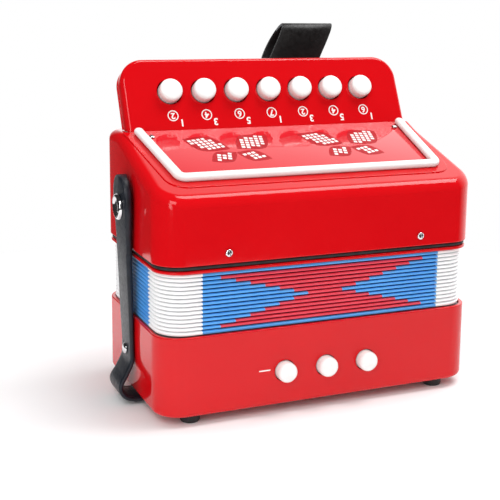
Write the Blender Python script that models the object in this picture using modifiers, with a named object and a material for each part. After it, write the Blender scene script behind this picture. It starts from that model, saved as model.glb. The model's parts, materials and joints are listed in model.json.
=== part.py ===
"""A child's button accordion with seven melody keys, two bass buttons and an air button.

It stands on its bass end: the bass casing is at the bottom, the bellows in the middle and the treble
casing with its leaning keyboard panel on top. X runs along the width, -Y is the front, +Z is up.
"""

import math

import bmesh
import bpy
from mathutils import Matrix, Vector

MM = 0.001
GAP = 0.3 * MM

# Both casings
CASE_WIDTH = 171.4 * MM
CASE_DEPTH = 95.0 * MM
CORNER_RADIUS = 13.7 * MM
WALL = 2.2 * MM
HALF_WIDTH = CASE_WIDTH / 2
HALF_DEPTH = CASE_DEPTH / 2

# Where the middle of the casings stands, so that the whole object is centred on the origin
CASE_X = 2.6 * MM
CASE_Y = -4.1 * MM

# Levels, from the ground up
FOOT_HEIGHT = 4.6 * MM
BASS_TOP = 44.0 * MM
BELLOWS_TOP = 74.2 * MM
FRAME_TOP = 76.0 * MM
TREBLE_BOTTOM = 78.0 * MM
SHOULDER_Z = 132.8 * MM

# Sloping top of the treble casing, from the foot of the keyboard panel down to the front
SHOULDER_Y = 19.6 * MM
SLOPE = math.radians(19.0)
TOP_EDGE_RADIUS = 5.0 * MM
BOTTOM_EDGE_RADIUS = 2.0 * MM
LEVER_SLOT_SIZE = (144 * MM, 8.2 * MM, 12 * MM)
LEVER_SLOT_Y = 5.3 * MM

# Bellows
PLEATS = 15
BELLOWS_INSET = 1.8 * MM
PLEAT_DEPTH = 5.0 * MM
BELLOWS_WALL = 0.7 * MM

# Grille window and its trim, measured along the slope from the shoulder
WINDOW_BACK_HALF = 73.3 * MM
WINDOW_FRONT_HALF = 67.6 * MM
WINDOW_NEAR = 0.8 * MM
WINDOW_FAR = 51.0 * MM
WINDOW_TAPER = math.atan((WINDOW_BACK_HALF - WINDOW_FRONT_HALF) / WINDOW_FAR)
WINDOW_THICKNESS = 1.5 * MM
RECESS_DEPTH = 1.0 * MM
TRIM_WIDTH = 4.8 * MM
TRIM_HEIGHT = 3.5 * MM
TRIM_START = 1.2 * MM
TRIM_OUTER_RADIUS = 6.0 * MM
TRIM_INNER_RADIUS = 1.2 * MM
TRIM_SCREW = (70.2 * MM, 8.0 * MM)

# Keyboard panel, measured up its leaning face from the shoulder
PANEL_LEAN = math.radians(24.8)
PANEL_LENGTH = 40.1 * MM
PANEL_X = 0.85 * MM
PANEL_HALF_WIDTH = 81.0 * MM
PANEL_RADIUS = 13.0 * MM
PANEL_DEPTH = 8.3 * MM
PANEL_SKIN = 2.2 * MM
COVER_THICKNESS = 1.6 * MM

# Keys
KEYS = 7
KEY_PITCH = 18.6 * MM
KEY_HEIGHT = 21.3 * MM
KEY_RADIUS = 6.1 * MM
KEY_HOLE_RADIUS = 6.9 * MM
KEY_PROUD = 4.8 * MM
LEVER_DEPTH = 3.7 * MM
LEVER_LENGTH = 48.5 * MM
LEVER_THICKNESS = 3.0 * MM
AXLE_RADIUS = 1.2 * MM
HUB_RADIUS = 3.0 * MM
PAD_REACH = 39.5 * MM
PAD_RADIUS = 5.5 * MM
TREBLE_BOARD_TOP = 96.0 * MM
BOARD_THICKNESS = 2.5 * MM

# Bass buttons: the leftmost one opens the air valve
BASS_NAMES = ("air", "bass_1", "bass_2")
BASS_X = 0.2 * MM
BASS_PITCH = 22.2 * MM
BASS_Z = 21.9 * MM
BASS_BUTTON_RADIUS = 5.0 * MM
BASS_PROUD = 5.5 * MM
BASS_AXLE_Y = -22.0 * MM
BASS_AXLE_Z = 33.4 * MM
BASS_PALLET_REACH = 14.0 * MM
BASS_BOARD_TOP = 42.8 * MM

# Straps
STRAP_THICKNESS = 2.4 * MM
HAND_STRAP_WIDTH = 18.0 * MM
HAND_STRAP_Z = 2.7 * MM
STRAP_BULGE = 94.0 * MM
STRAP_SPLIT_Z = 33.0 * MM
RIVET_Z = 26.4 * MM
SNAP_Z = 99.2 * MM
BELLOWS_STRAP_TOP = 115.0 * MM
BELLOWS_STRAP_TILT = math.radians(2.1)
THUMB_STRAP_WIDTH = 31.0 * MM
THUMB_STRAP_THICKNESS = 1.6 * MM
THUMB_STRAP_X = 20.5 * MM
THUMB_STRAP_SKEW = 0.55
THUMB_STRAP_BEND_Z = 158.0 * MM

# Casing screws and feet
SCREW_X = 51.8 * MM
SCREW_Z = 83.2 * MM
SCREW_HOLE_RADIUS = 1.4 * MM
FOOT_X = 68.0 * MM
FOOT_Y = 38.5 * MM

RED = ("red_plastic", (0.62, 0.008, 0.014), 0.16, 0.0)
WHITE = ("white_plastic", (0.82, 0.82, 0.80), 0.3, 0.0)
BLACK_VINYL = ("black_vinyl", (0.012, 0.012, 0.014), 0.32, 0.0)
BLACK_RUBBER = ("black_rubber", (0.02, 0.02, 0.02), 0.7, 0.0)
CHROME = ("chrome", (0.75, 0.75, 0.76), 0.12, 1.0)
STEEL = ("steel", (0.5, 0.5, 0.52), 0.35, 1.0)
BRASS = ("brass", (0.72, 0.5, 0.2), 0.3, 1.0)
BOARD = ("grey_plastic", (0.35, 0.35, 0.36), 0.5, 0.0)
FELT = ("felt", (0.5, 0.06, 0.06), 0.95, 0.0)
CLEAR = ("clear_plastic", (0.9, 0.75, 0.76), 0.06, 0.0)
PAPER = ("bellows_card", (0.1, 0.3, 0.75), 0.55, 0.0)


# ---------------------------------------------------------------- scene and helpers

def clear_scene():
    for obj in list(bpy.data.objects):
        bpy.data.objects.remove(obj, do_unlink=True)


def new_collection(name):
    collection = bpy.data.collections.new(name)
    bpy.context.scene.collection.children.link(collection)
    return collection


def material(look):
    name, color, roughness, metallic = look
    found = bpy.data.materials.get(name)
    if found:
        return found
    made = bpy.data.materials.new(name)
    made.use_nodes = True
    shader = made.node_tree.nodes["Principled BSDF"]
    shader.inputs["Base Color"].default_value = (*color, 1.0)
    shader.inputs["Roughness"].default_value = roughness
    shader.inputs["Metallic"].default_value = metallic
    return made


def finish_part(obj, look, parent=None, smooth=True):
    """Puts the object in the parts collection with its material, under its body's empty."""
    for collection in list(obj.users_collection):
        collection.objects.unlink(obj)
    PARTS.objects.link(obj)
    obj.parent = parent or CASE
    obj.data.materials.clear()
    obj.data.materials.append(material(look))
    if smooth:
        obj.data.shade_smooth()
        obj.data.set_sharp_from_angle(angle=math.radians(35))
    return obj


def new_mesh_object(name, build):
    """A new mesh object from a bmesh that build() fills."""
    mesh = bpy.data.meshes.new(name)
    shape = bmesh.new()
    build(shape)
    bmesh.ops.recalc_face_normals(shape, faces=shape.faces)
    shape.to_mesh(mesh)
    shape.free()
    obj = bpy.data.objects.new(name, mesh)
    bpy.context.scene.collection.objects.link(obj)
    return obj


def box_mesh(shape, size, center):
    made = bmesh.ops.create_cube(shape, size=1.0)["verts"]
    bmesh.ops.scale(shape, vec=size, verts=made)
    bmesh.ops.translate(shape, vec=center, verts=made)


def cylinder_mesh(shape, radius, depth, matrix, segments=24):
    bmesh.ops.create_cone(shape, cap_ends=True, segments=segments, radius1=radius,
                          radius2=radius, depth=depth, matrix=matrix)


def hide_cutter(obj, parent):
    for collection in list(obj.users_collection):
        collection.objects.unlink(obj)
    CUTTERS.objects.link(obj)
    obj.parent = parent
    obj.hide_render = True
    obj.display_type = "WIRE"
    return obj


def cutter(name, build):
    return hide_cutter(new_mesh_object(name, build), CASE)


def boolean(obj, other, operation="DIFFERENCE"):
    modifier = obj.modifiers.new(operation.title() + "_" + other.name, "BOOLEAN")
    modifier.operation = operation
    modifier.solver = "EXACT"
    modifier.object = other


def outline_solid(name, loops, thickness):
    """A flat solid in the XY plane: the first loop is its outline, the others are holes."""
    curve = bpy.data.curves.new(name, "CURVE")
    curve.dimensions = "2D"
    curve.fill_mode = "BOTH"
    curve.extrude = thickness / 2
    for points in loops:
        spline = curve.splines.new("POLY")
        spline.points.add(len(points) - 1)
        for point, (x, y) in zip(spline.points, points):
            point.co = (x, y, 0, 1)
        spline.use_cyclic_u = True
    guide = bpy.data.objects.new(name + "_outline", curve)
    bpy.context.scene.collection.objects.link(guide)
    graph = bpy.context.evaluated_depsgraph_get()
    mesh = bpy.data.meshes.new_from_object(guide.evaluated_get(graph))
    bpy.data.objects.remove(guide)
    shape = bmesh.new()
    shape.from_mesh(mesh)
    bmesh.ops.remove_doubles(shape, verts=shape.verts, dist=1e-6)
    bmesh.ops.recalc_face_normals(shape, faces=shape.faces)
    shape.to_mesh(mesh)
    shape.free()
    mesh.name = name
    obj = bpy.data.objects.new(name, mesh)
    bpy.context.scene.collection.objects.link(obj)
    return obj


def turned(name, profile, steps=24):
    """A piece turned about its own Z from (radius, height) points, given from top to bottom."""
    mesh = bpy.data.meshes.new(name)
    shape = bmesh.new()
    points = [shape.verts.new((radius, 0, height)) for radius, height in profile]
    for first, second in zip(points, points[1:]):
        shape.edges.new((first, second))
    shape.to_mesh(mesh)
    shape.free()
    obj = bpy.data.objects.new(name, mesh)
    bpy.context.scene.collection.objects.link(obj)
    screw = obj.modifiers.new("Turn", "SCREW")
    screw.steps = steps
    screw.render_steps = steps
    screw.use_merge_vertices = True
    screw.merge_threshold = 0.00001
    return obj


def arc(center, radius, start, end, steps):
    """Points on an arc, with angles in degrees."""
    angles = [math.radians(start + (end - start) * i / steps) for i in range(steps + 1)]
    return [(center[0] + radius * math.cos(a), center[1] + radius * math.sin(a)) for a in angles]


def circle(center, radius, steps=20):
    return arc(center, radius, 0, 360, steps)[:-1]


def rounded_rectangle(half_x, half_y, radius, steps=5):
    points = []
    for sign_x, sign_y, start in ((1, 1, 0), (-1, 1, 90), (-1, -1, 180), (1, -1, 270)):
        center = (sign_x * (half_x - radius), sign_y * (half_y - radius))
        points += arc(center, radius, start, start + 90, steps)
    return points


def offset_path(points, thickness):
    """The outline of a strip of this thickness along an open path."""
    left, right = [], []
    for i, point in enumerate(points):
        before = Vector(points[max(i - 1, 0)])
        after = Vector(points[min(i + 1, len(points) - 1)])
        along = (after - before).normalized()
        side = Vector((-along.y, along.x)) * thickness / 2
        left.append(tuple(Vector(point) + side))
        right.append(tuple(Vector(point) - side))
    return left + right[::-1]


def smooth_path(points, steps=5):
    """A Catmull-Rom curve through the points."""
    knots = [Vector(p) for p in points]
    knots = [2 * knots[0] - knots[1]] + knots + [2 * knots[-1] - knots[-2]]
    path = []
    for a, b, c, d in zip(knots, knots[1:], knots[2:], knots[3:]):
        for i in range(steps):
            t = i / steps
            path.append(0.5 * (2 * b + (c - a) * t + (2 * a - 5 * b + 4 * c - d) * t**2
                               + (3 * b - a - 3 * c + d) * t**3))
    path.append(knots[-2])
    return [tuple(p) for p in path]


def bell_crank(hub_radius, hole_radius, arms):
    """Loops of a lever: a hub with a hole and arms of (angle in degrees, length, half width)."""
    outline = []
    arms = sorted(arms)
    for i, (angle, length, half) in enumerate(arms):
        spread = math.degrees(math.asin(half / hub_radius))
        turn = Matrix.Rotation(math.radians(angle), 2)
        outline += arc((0, 0), hub_radius, angle - spread, angle - spread, 1)[:1]
        outline += [tuple(turn @ Vector((length, side * half))) for side in (-1, 1)]
        following = arms[(i + 1) % len(arms)]
        next_spread = math.degrees(math.asin(following[2] / hub_radius))
        end = following[0] - next_spread + (360 if i == len(arms) - 1 else 0)
        outline += arc((0, 0), hub_radius, angle + spread, end, 6)[:-1]
    return [outline, circle((0, 0), hole_radius, 12)]


# Local X, Y, Z of a flat solid become world Y, Z, X
ALONG_X = (math.pi / 2, 0, math.pi / 2)
# Local X, Y, Z of a flat solid become world X, Z, -Y
ALONG_Y = (math.pi / 2, 0, 0)


def on_slope(x, down, out=0.0):
    """A point on the sloping top: distance down from the shoulder, and out of the surface."""
    y = SHOULDER_Y - down * math.cos(SLOPE) - out * math.sin(SLOPE)
    z = SHOULDER_Z - down * math.sin(SLOPE) + out * math.cos(SLOPE)
    return Vector((x, y, z))


def on_panel(x, up, out=0.0):
    """A point on the keyboard panel: distance up its face, and out of the face."""
    y = SHOULDER_Y + up * math.sin(PANEL_LEAN) - out * math.cos(PANEL_LEAN)
    z = SHOULDER_Z + up * math.cos(PANEL_LEAN) + out * math.sin(PANEL_LEAN)
    return Vector((x, y, z))


# Local X, Y, Z of a flat solid become world X, up the face, out of the face
SLOPE_TURN = (SLOPE, 0, 0)
PANEL_TURN = (math.pi / 2 - PANEL_LEAN, 0, 0)


# ---------------------------------------------------------------- casings

def bevel_edges(shape, test, radius, segments):
    edges = [edge for edge in shape.edges if len(edge.link_faces) == 2 and test(edge)]
    bmesh.ops.bevel(shape, geom=edges, offset=radius, segments=segments, profile=0.5,
                    affect="EDGES", clamp_overlap=True)


def is_upright(edge):
    first, second = (v.co for v in edge.verts)
    return abs(first.x - second.x) < 1e-6 and abs(first.y - second.y) < 1e-6


def is_rim(edge, up):
    """An edge between a wall and the faces that look up (1) or down (-1)."""
    slopes = sorted(face.normal.z * up for face in edge.link_faces)
    return slopes[0] < 0.3 and slopes[1] > 0.7


def hollow(obj):
    solidify = obj.modifiers.new("Wall", "SOLIDIFY")
    solidify.thickness = WALL
    solidify.offset = -1
    solidify.use_even_offset = True


def bass_casing():
    def build(shape):
        height = BASS_TOP - FOOT_HEIGHT
        box_mesh(shape, (CASE_WIDTH, CASE_DEPTH, height), (0, 0, FOOT_HEIGHT + height / 2))
        bevel_edges(shape, is_upright, CORNER_RADIUS, 6)
        shape.normal_update()
        bevel_edges(shape, lambda edge: is_rim(edge, -1), BOTTOM_EDGE_RADIUS, 2)
        shape.normal_update()
        top = [face for face in shape.faces if face.normal.z > 0.9]
        bmesh.ops.delete(shape, geom=top, context="FACES_ONLY")

    def holes(shape):
        for i in range(3):
            place = Matrix.Translation((bass_x(i), -HALF_DEPTH, BASS_Z))
            cylinder_mesh(shape, BASS_BUTTON_RADIUS + 0.5 * MM, 4 * WALL,
                          place @ Matrix.Rotation(math.pi / 2, 4, "X"))

    obj = new_mesh_object("bass_casing", build)
    hollow(obj)
    boolean(obj, cutter("cut_bass_buttons", holes))
    finish_part(obj, RED)


def window_half(down):
    """Half the window's width at this distance down the slope: it narrows to the front."""
    return WINDOW_BACK_HALF - down * math.tan(WINDOW_TAPER)


def window_outline(grow=0.0):
    """The window from above the slope, with Y up the slope from the shoulder."""
    near, far = WINDOW_NEAR - grow, WINDOW_FAR + grow
    back, front = window_half(near) + grow, window_half(far) + grow
    return [(back, -near), (-back, -near), (-front, -far), (front, -far)]


def treble_casing():
    slope_rise = math.tan(SLOPE)

    def build(shape):
        height = SHOULDER_Z - TREBLE_BOTTOM
        box_mesh(shape, (CASE_WIDTH, CASE_DEPTH, height), (0, 0, TREBLE_BOTTOM + height / 2))
        bmesh.ops.bisect_plane(shape, geom=shape.verts[:] + shape.edges[:] + shape.faces[:],
                               plane_co=(0, SHOULDER_Y, 0), plane_no=(0, 1, 0))
        for vert in shape.verts:
            if vert.co.z > SHOULDER_Z - MM and vert.co.y < 0:
                vert.co.z -= (SHOULDER_Y - vert.co.y) * slope_rise
        bevel_edges(shape, lambda edge: is_upright(edge) and abs(edge.verts[0].co.y) > 40 * MM,
                    CORNER_RADIUS, 6)
        shape.normal_update()
        bevel_edges(shape, lambda edge: is_rim(edge, 1), TOP_EDGE_RADIUS, 4)
        shape.normal_update()
        bottom = [face for face in shape.faces if face.normal.z < -0.9]
        bmesh.ops.delete(shape, geom=bottom, context="FACES_ONLY")

    recess = outline_solid("cut_window_recess", [window_outline(GAP)], 2 * RECESS_DEPTH)
    recess.location = on_slope(0, 0)
    recess.rotation_euler = SLOPE_TURN
    hide_cutter(recess, CASE)

    def slot(shape):
        box_mesh(shape, LEVER_SLOT_SIZE, (0, SHOULDER_Y + LEVER_SLOT_Y, SHOULDER_Z - 2 * MM))

    def holes(shape):
        for x in (-SCREW_X, SCREW_X):
            for y in (-HALF_DEPTH, HALF_DEPTH):
                place = Matrix.Translation((x, y, SCREW_Z)) @ Matrix.Rotation(math.pi / 2, 4, "X")
                cylinder_mesh(shape, SCREW_HOLE_RADIUS, 4 * WALL, place, segments=12)

    obj = new_mesh_object("treble_casing", build)
    hollow(obj)
    boolean(obj, recess)
    boolean(obj, cutter("cut_lever_slot", slot))
    boolean(obj, cutter("cut_screw_holes", holes))
    finish_part(obj, RED)


def ring(name, look, low, high, inset, width, opening_radius=9 * MM):
    outer = rounded_rectangle(HALF_WIDTH - inset, HALF_DEPTH - inset, CORNER_RADIUS - inset, 6)
    inner = rounded_rectangle(HALF_WIDTH - width, HALF_DEPTH - width, opening_radius, 3)
    obj = outline_solid(name, [outer, inner], high - low)
    obj.location = (0, 0, (low + high) / 2)
    return finish_part(obj, look, TREBLE)


def casing_screws():
    """Pan-head screws that hold the treble casing to its frame, two in front and two behind."""
    profile = [(0, 1.1), (1.0, 0.98), (1.7, 0.6), (1.95, 0.15), (1.95, 0), (1.1, 0),
               (1.1, -5.0), (0, -5.6)]
    points = [(r * MM, z * MM) for r, z in profile]
    for side, y, turn in (("front", -1, math.pi / 2), ("back", 1, -math.pi / 2)):
        for hand, x in (("left", -SCREW_X), ("right", SCREW_X)):
            obj = turned(f"casing_screw_{side}_{hand}", points, 12)
            obj.location = (x, y * (HALF_DEPTH + GAP), SCREW_Z)
            obj.rotation_euler = (turn, 0, 0)
            finish_part(obj, CHROME, TREBLE)


def feet():
    profile = [(0, 4.3), (4.9, 4.3), (4.9, 1.0), (4.4, 0.25), (3.9, 0), (0, 0)]
    points = [(r * MM, z * MM) for r, z in profile]
    for side, y in (("front", -FOOT_Y), ("back", FOOT_Y)):
        for hand, x in (("left", -FOOT_X), ("right", FOOT_X)):
            obj = turned(f"foot_{side}_{hand}", points, 16)
            obj.location = (x, y, 0)
            finish_part(obj, BLACK_RUBBER)


# ---------------------------------------------------------------- bellows

def bellows():
    low = BASS_TOP + GAP
    high = BELLOWS_TOP - GAP
    half_x = HALF_WIDTH - BELLOWS_INSET
    half_y = HALF_DEPTH - BELLOWS_INSET
    step = (high - low) / (2 * PLEATS)

    def build(shape):
        loop = rounded_rectangle(half_x, half_y, CORNER_RADIUS, 2)
        verts = [shape.verts.new((x, y, low)) for x, y in loop]
        edges = [shape.edges.new((a, b)) for a, b in zip(verts, verts[1:] + verts[:1])]
        for level in range(1, 2 * PLEATS + 1):
            made = bmesh.ops.extrude_edge_only(shape, edges=edges)["geom"]
            edges = [item for item in made if isinstance(item, bmesh.types.BMEdge)]
            verts = [item for item in made if isinstance(item, bmesh.types.BMVert)]
            for vert in verts:
                vert.co.z += step
        shape.verts.ensure_lookup_table()
        corner_x, corner_y = half_x - CORNER_RADIUS, half_y - CORNER_RADIUS
        for vert in shape.verts:
            level = round((vert.co.z - low) / step)
            if level % 2 == 0:
                outward = Vector((vert.co.x, vert.co.y)).copy()
                outward.x -= max(-corner_x, min(corner_x, outward.x))
                outward.y -= max(-corner_y, min(corner_y, outward.y))
                outward.normalize()
                vert.co.x -= outward.x * PLEAT_DEPTH
                vert.co.y -= outward.y * PLEAT_DEPTH

    obj = new_mesh_object("bellows", build)
    solidify = obj.modifiers.new("Card", "SOLIDIFY")
    solidify.thickness = BELLOWS_WALL
    solidify.offset = -1
    finish_part(obj, PAPER, smooth=False)


# ---------------------------------------------------------------- treble end

def trim_corner(out, radius, steps):
    """The right front corner of the line that runs this far outside the window."""
    far = WINDOW_FAR + out
    reach = radius * (1 - math.sin(WINDOW_TAPER)) / math.cos(WINDOW_TAPER)
    center = (window_half(far) + out - reach, radius - far)
    return arc(center, radius, 270, 360 - math.degrees(WINDOW_TAPER), steps)


def grille():
    screw_holes = [circle((x, -TRIM_SCREW[1]), 1.3 * MM, 10)
                   for x in (-TRIM_SCREW[0], TRIM_SCREW[0])]
    plate = outline_solid("grille_window", [window_outline(), *screw_holes], WINDOW_THICKNESS)
    plate.location = on_slope(0, 0, GAP + WINDOW_THICKNESS / 2 - RECESS_DEPTH)
    plate.rotation_euler = SLOPE_TURN
    finish_part(plate, CLEAR, TREBLE)

    tip = TRIM_WIDTH / 2
    tip_center = (window_half(TRIM_START + tip) + GAP + tip, -TRIM_START - tip)
    right = trim_corner(GAP + TRIM_WIDTH, TRIM_OUTER_RADIUS, 6)
    right += arc(tip_center, tip, 0, 180, 8)
    right += trim_corner(GAP, TRIM_INNER_RADIUS, 3)[::-1]
    outline = right + [(-x, y) for x, y in right[::-1]]
    bar = outline_solid("grille_trim", [outline], TRIM_HEIGHT)
    bevel = bar.modifiers.new("Round", "BEVEL")
    bevel.width = 1.7 * MM
    bevel.segments = 3
    bevel.limit_method = "ANGLE"
    bevel.angle_limit = math.radians(60)
    bar.location = on_slope(0, 0, GAP + TRIM_HEIGHT / 2)
    bar.rotation_euler = SLOPE_TURN
    finish_part(bar, WHITE, TREBLE)

    profile = [(0, 0.9), (0.9, 0.8), (1.6, 0.3), (1.7, 0), (0.9, 0), (0.9, -1.4), (0, -1.6)]
    points = [(r * MM, z * MM) for r, z in profile]
    top = WINDOW_THICKNESS - RECESS_DEPTH + GAP
    for hand, x in (("left", -TRIM_SCREW[0]), ("right", TRIM_SCREW[0])):
        obj = turned(f"window_screw_{hand}", points, 12)
        obj.location = on_slope(x, TRIM_SCREW[1], top + GAP)
        obj.rotation_euler = SLOPE_TURN
        finish_part(obj, CHROME, TREBLE)


def key_x(i):
    return PANEL_X + (i - (KEYS - 1) / 2) * KEY_PITCH


def panel_outline(inset=0.0, foot=-12 * MM):
    """The outline up the panel's face, drawn past its foot so that the foot can be cut level."""
    half = PANEL_HALF_WIDTH - inset
    top = PANEL_LENGTH - inset
    radius = PANEL_RADIUS - inset
    return [(-half, foot), (half, foot),
            *arc((half - radius, top - radius), radius, 0, 90, 6),
            *arc((radius - half, top - radius), radius, 90, 180, 6)]


def keyboard_panel():
    def below_foot(shape):
        box_mesh(shape, (200 * MM, 80 * MM, 40 * MM),
                 (0, SHOULDER_Y, SHOULDER_Z + GAP - 20 * MM))

    foot_cut = cutter("cut_panel_foot", below_foot)

    obj = outline_solid("keyboard_panel", [panel_outline()], PANEL_DEPTH)
    obj.location = on_panel(PANEL_X, 0, -PANEL_DEPTH / 2)
    obj.rotation_euler = PANEL_TURN
    bevel = obj.modifiers.new("Front_edge", "BEVEL")
    bevel.width = 1.5 * MM
    bevel.segments = 2
    bevel.limit_method = "WEIGHT"
    shape = bmesh.new()
    shape.from_mesh(obj.data)
    weights = shape.edges.layers.float.new("bevel_weight_edge")
    for edge in shape.edges:
        if all(vert.co.z > 0 for vert in edge.verts) and len(edge.link_faces) == 2:
            if abs(edge.link_faces[0].normal.z - edge.link_faces[1].normal.z) > 0.5:
                edge[weights] = 1.0
    shape.to_mesh(obj.data)
    shape.free()

    hollow_out = outline_solid("cut_panel_hollow", [panel_outline(PANEL_SKIN)], PANEL_DEPTH)
    hollow_out.location = on_panel(PANEL_X, 0, -PANEL_DEPTH / 2 - PANEL_SKIN)
    hollow_out.rotation_euler = PANEL_TURN
    hide_cutter(hollow_out, CASE)

    def key_holes(shape):
        for i in range(KEYS):
            place = Matrix.Translation(on_panel(key_x(i), KEY_HEIGHT))
            cylinder_mesh(shape, KEY_HOLE_RADIUS, 12 * MM,
                          place @ Matrix.Rotation(PANEL_TURN[0], 4, "X"), segments=20)

    boolean(obj, hollow_out)
    boolean(obj, cutter("cut_key_holes", key_holes))
    boolean(obj, foot_cut)
    finish_part(obj, RED, TREBLE)

    cover = outline_solid("panel_back_cover", [panel_outline()], COVER_THICKNESS)
    cover.location = on_panel(PANEL_X, 0, -PANEL_DEPTH - GAP - COVER_THICKNESS / 2)
    cover.rotation_euler = PANEL_TURN
    boolean(cover, foot_cut)
    finish_part(cover, RED, TREBLE)


def sound_board(name, top, half_x, half_y, holes, ears, parent):
    """A board with pallet holes, and two ears that carry the lever axle.

    ears is (x of both ears, y and z of the axle, z where each ear ends).
    """
    corner = CORNER_RADIUS - WALL - GAP
    obj = outline_solid(name, [rounded_rectangle(half_x, half_y, corner, 6), *holes],
                        BOARD_THICKNESS)
    obj.location = (0, 0, top - BOARD_THICKNESS / 2)
    ear_xs, axle_y, axle_z, ear_end = ears

    def ear_boxes(shape):
        middle = top - BOARD_THICKNESS / 2
        for x in ear_xs:
            box_mesh(shape, (3 * MM, 9 * MM, abs(ear_end - middle)),
                     (x, axle_y, (ear_end + middle) / 2))

    def axle_hole(shape):
        place = Matrix.Translation((0, axle_y, axle_z)) @ Matrix.Rotation(math.pi / 2, 4, "Y")
        cylinder_mesh(shape, AXLE_RADIUS + GAP, 170 * MM, place, segments=12)

    boolean(obj, cutter("join_" + name + "_ears", ear_boxes), "UNION")
    boolean(obj, cutter("cut_" + name + "_axle", axle_hole))
    finish_part(obj, BOARD, parent)


def reed_plate(name, center, half_x, half_y, thickness, slot_xs, parent):
    slots = []
    for x in slot_xs:
        for side in (-3.4, 3.4):
            middle = x + side * MM
            slots.append([(middle - MM, -half_y * 0.7), (middle + MM, -half_y * 0.7),
                          (middle + MM, half_y * 0.7), (middle - MM, half_y * 0.7)])
    obj = outline_solid(name, [rounded_rectangle(half_x, half_y, 2 * MM, 2), *slots], thickness)
    obj.location = center
    finish_part(obj, BRASS, parent, smooth=False)


def axle(name, length, y, z, parent):
    def build(shape):
        cylinder_mesh(shape, AXLE_RADIUS, length, Matrix.Rotation(math.pi / 2, 4, "Y"), 16)

    obj = new_mesh_object(name, build)
    obj.location = (0, y, z)
    finish_part(obj, STEEL, parent)


def treble_action():
    """Seven bell cranks on one axle: a key pressed back lifts its pad off the sound board."""
    pivot = on_panel(0, KEY_HEIGHT - LEVER_LENGTH, -LEVER_DEPTH)
    pad_y = pivot.y - PAD_REACH
    board_half = HALF_WIDTH - WALL - GAP
    holes = [circle((key_x(i), pad_y), 3.5 * MM, 12) for i in range(KEYS)]
    sound_board("treble_sound_board", TREBLE_BOARD_TOP, board_half, HALF_DEPTH - WALL - GAP,
                holes, ((-66 * MM, 66 * MM), pivot.y, pivot.z, pivot.z + 4 * MM), TREBLE)
    reed_plate("treble_reed_plate",
               (0, pad_y, TREBLE_BOARD_TOP - BOARD_THICKNESS - GAP - 1.2 * MM),
               66 * MM, 13 * MM, 2.4 * MM, [key_x(i) for i in range(KEYS)], TREBLE)
    axle("key_axle", 138 * MM, pivot.y, pivot.z, TREBLE)

    face = [(0, KEY_PROUD), (4.8 * MM, KEY_PROUD), (5.7 * MM, KEY_PROUD - 0.35 * MM),
            (KEY_RADIUS, KEY_PROUD - 1.2 * MM), (KEY_RADIUS, -2.7 * MM), (0, -2.7 * MM)]
    pad_top = pivot.z - 2.2 * MM - GAP - (TREBLE_BOARD_TOP + GAP)
    pad = [(0, pad_top), (2 * MM, pad_top), (2 * MM, 3 * MM), (PAD_RADIUS, 3 * MM),
           (PAD_RADIUS, 0), (0, 0)]
    stem_angle = 90 - math.degrees(PANEL_LEAN)
    loops = bell_crank(HUB_RADIUS, AXLE_RADIUS + GAP,
                       [(stem_angle, LEVER_LENGTH + 5 * MM, 0.7 * MM),
                        (180, PAD_REACH + 4 * MM, 2.2 * MM)])
    for i in range(KEYS):
        body = new_empty(f"key_{i + 1}_pivot", (key_x(i), pivot.y, pivot.z), TREBLE)
        lever = outline_solid(f"key_{i + 1}_lever", loops, LEVER_THICKNESS)
        lever.rotation_euler = ALONG_X
        finish_part(lever, STEEL, body, smooth=False)

        button = turned(f"key_{i + 1}_button", face, 20)
        button.location = on_panel(key_x(i), KEY_HEIGHT) - Vector(body.location)
        button.rotation_euler = PANEL_TURN
        finish_part(button, WHITE, body)

        valve = turned(f"key_{i + 1}_pad", pad, 12)
        valve.location = (0, -PAD_REACH, TREBLE_BOARD_TOP + GAP - pivot.z)
        finish_part(valve, FELT, body)


# ---------------------------------------------------------------- bass end

def bass_x(i):
    return BASS_X + (i - 1) * BASS_PITCH


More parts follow.
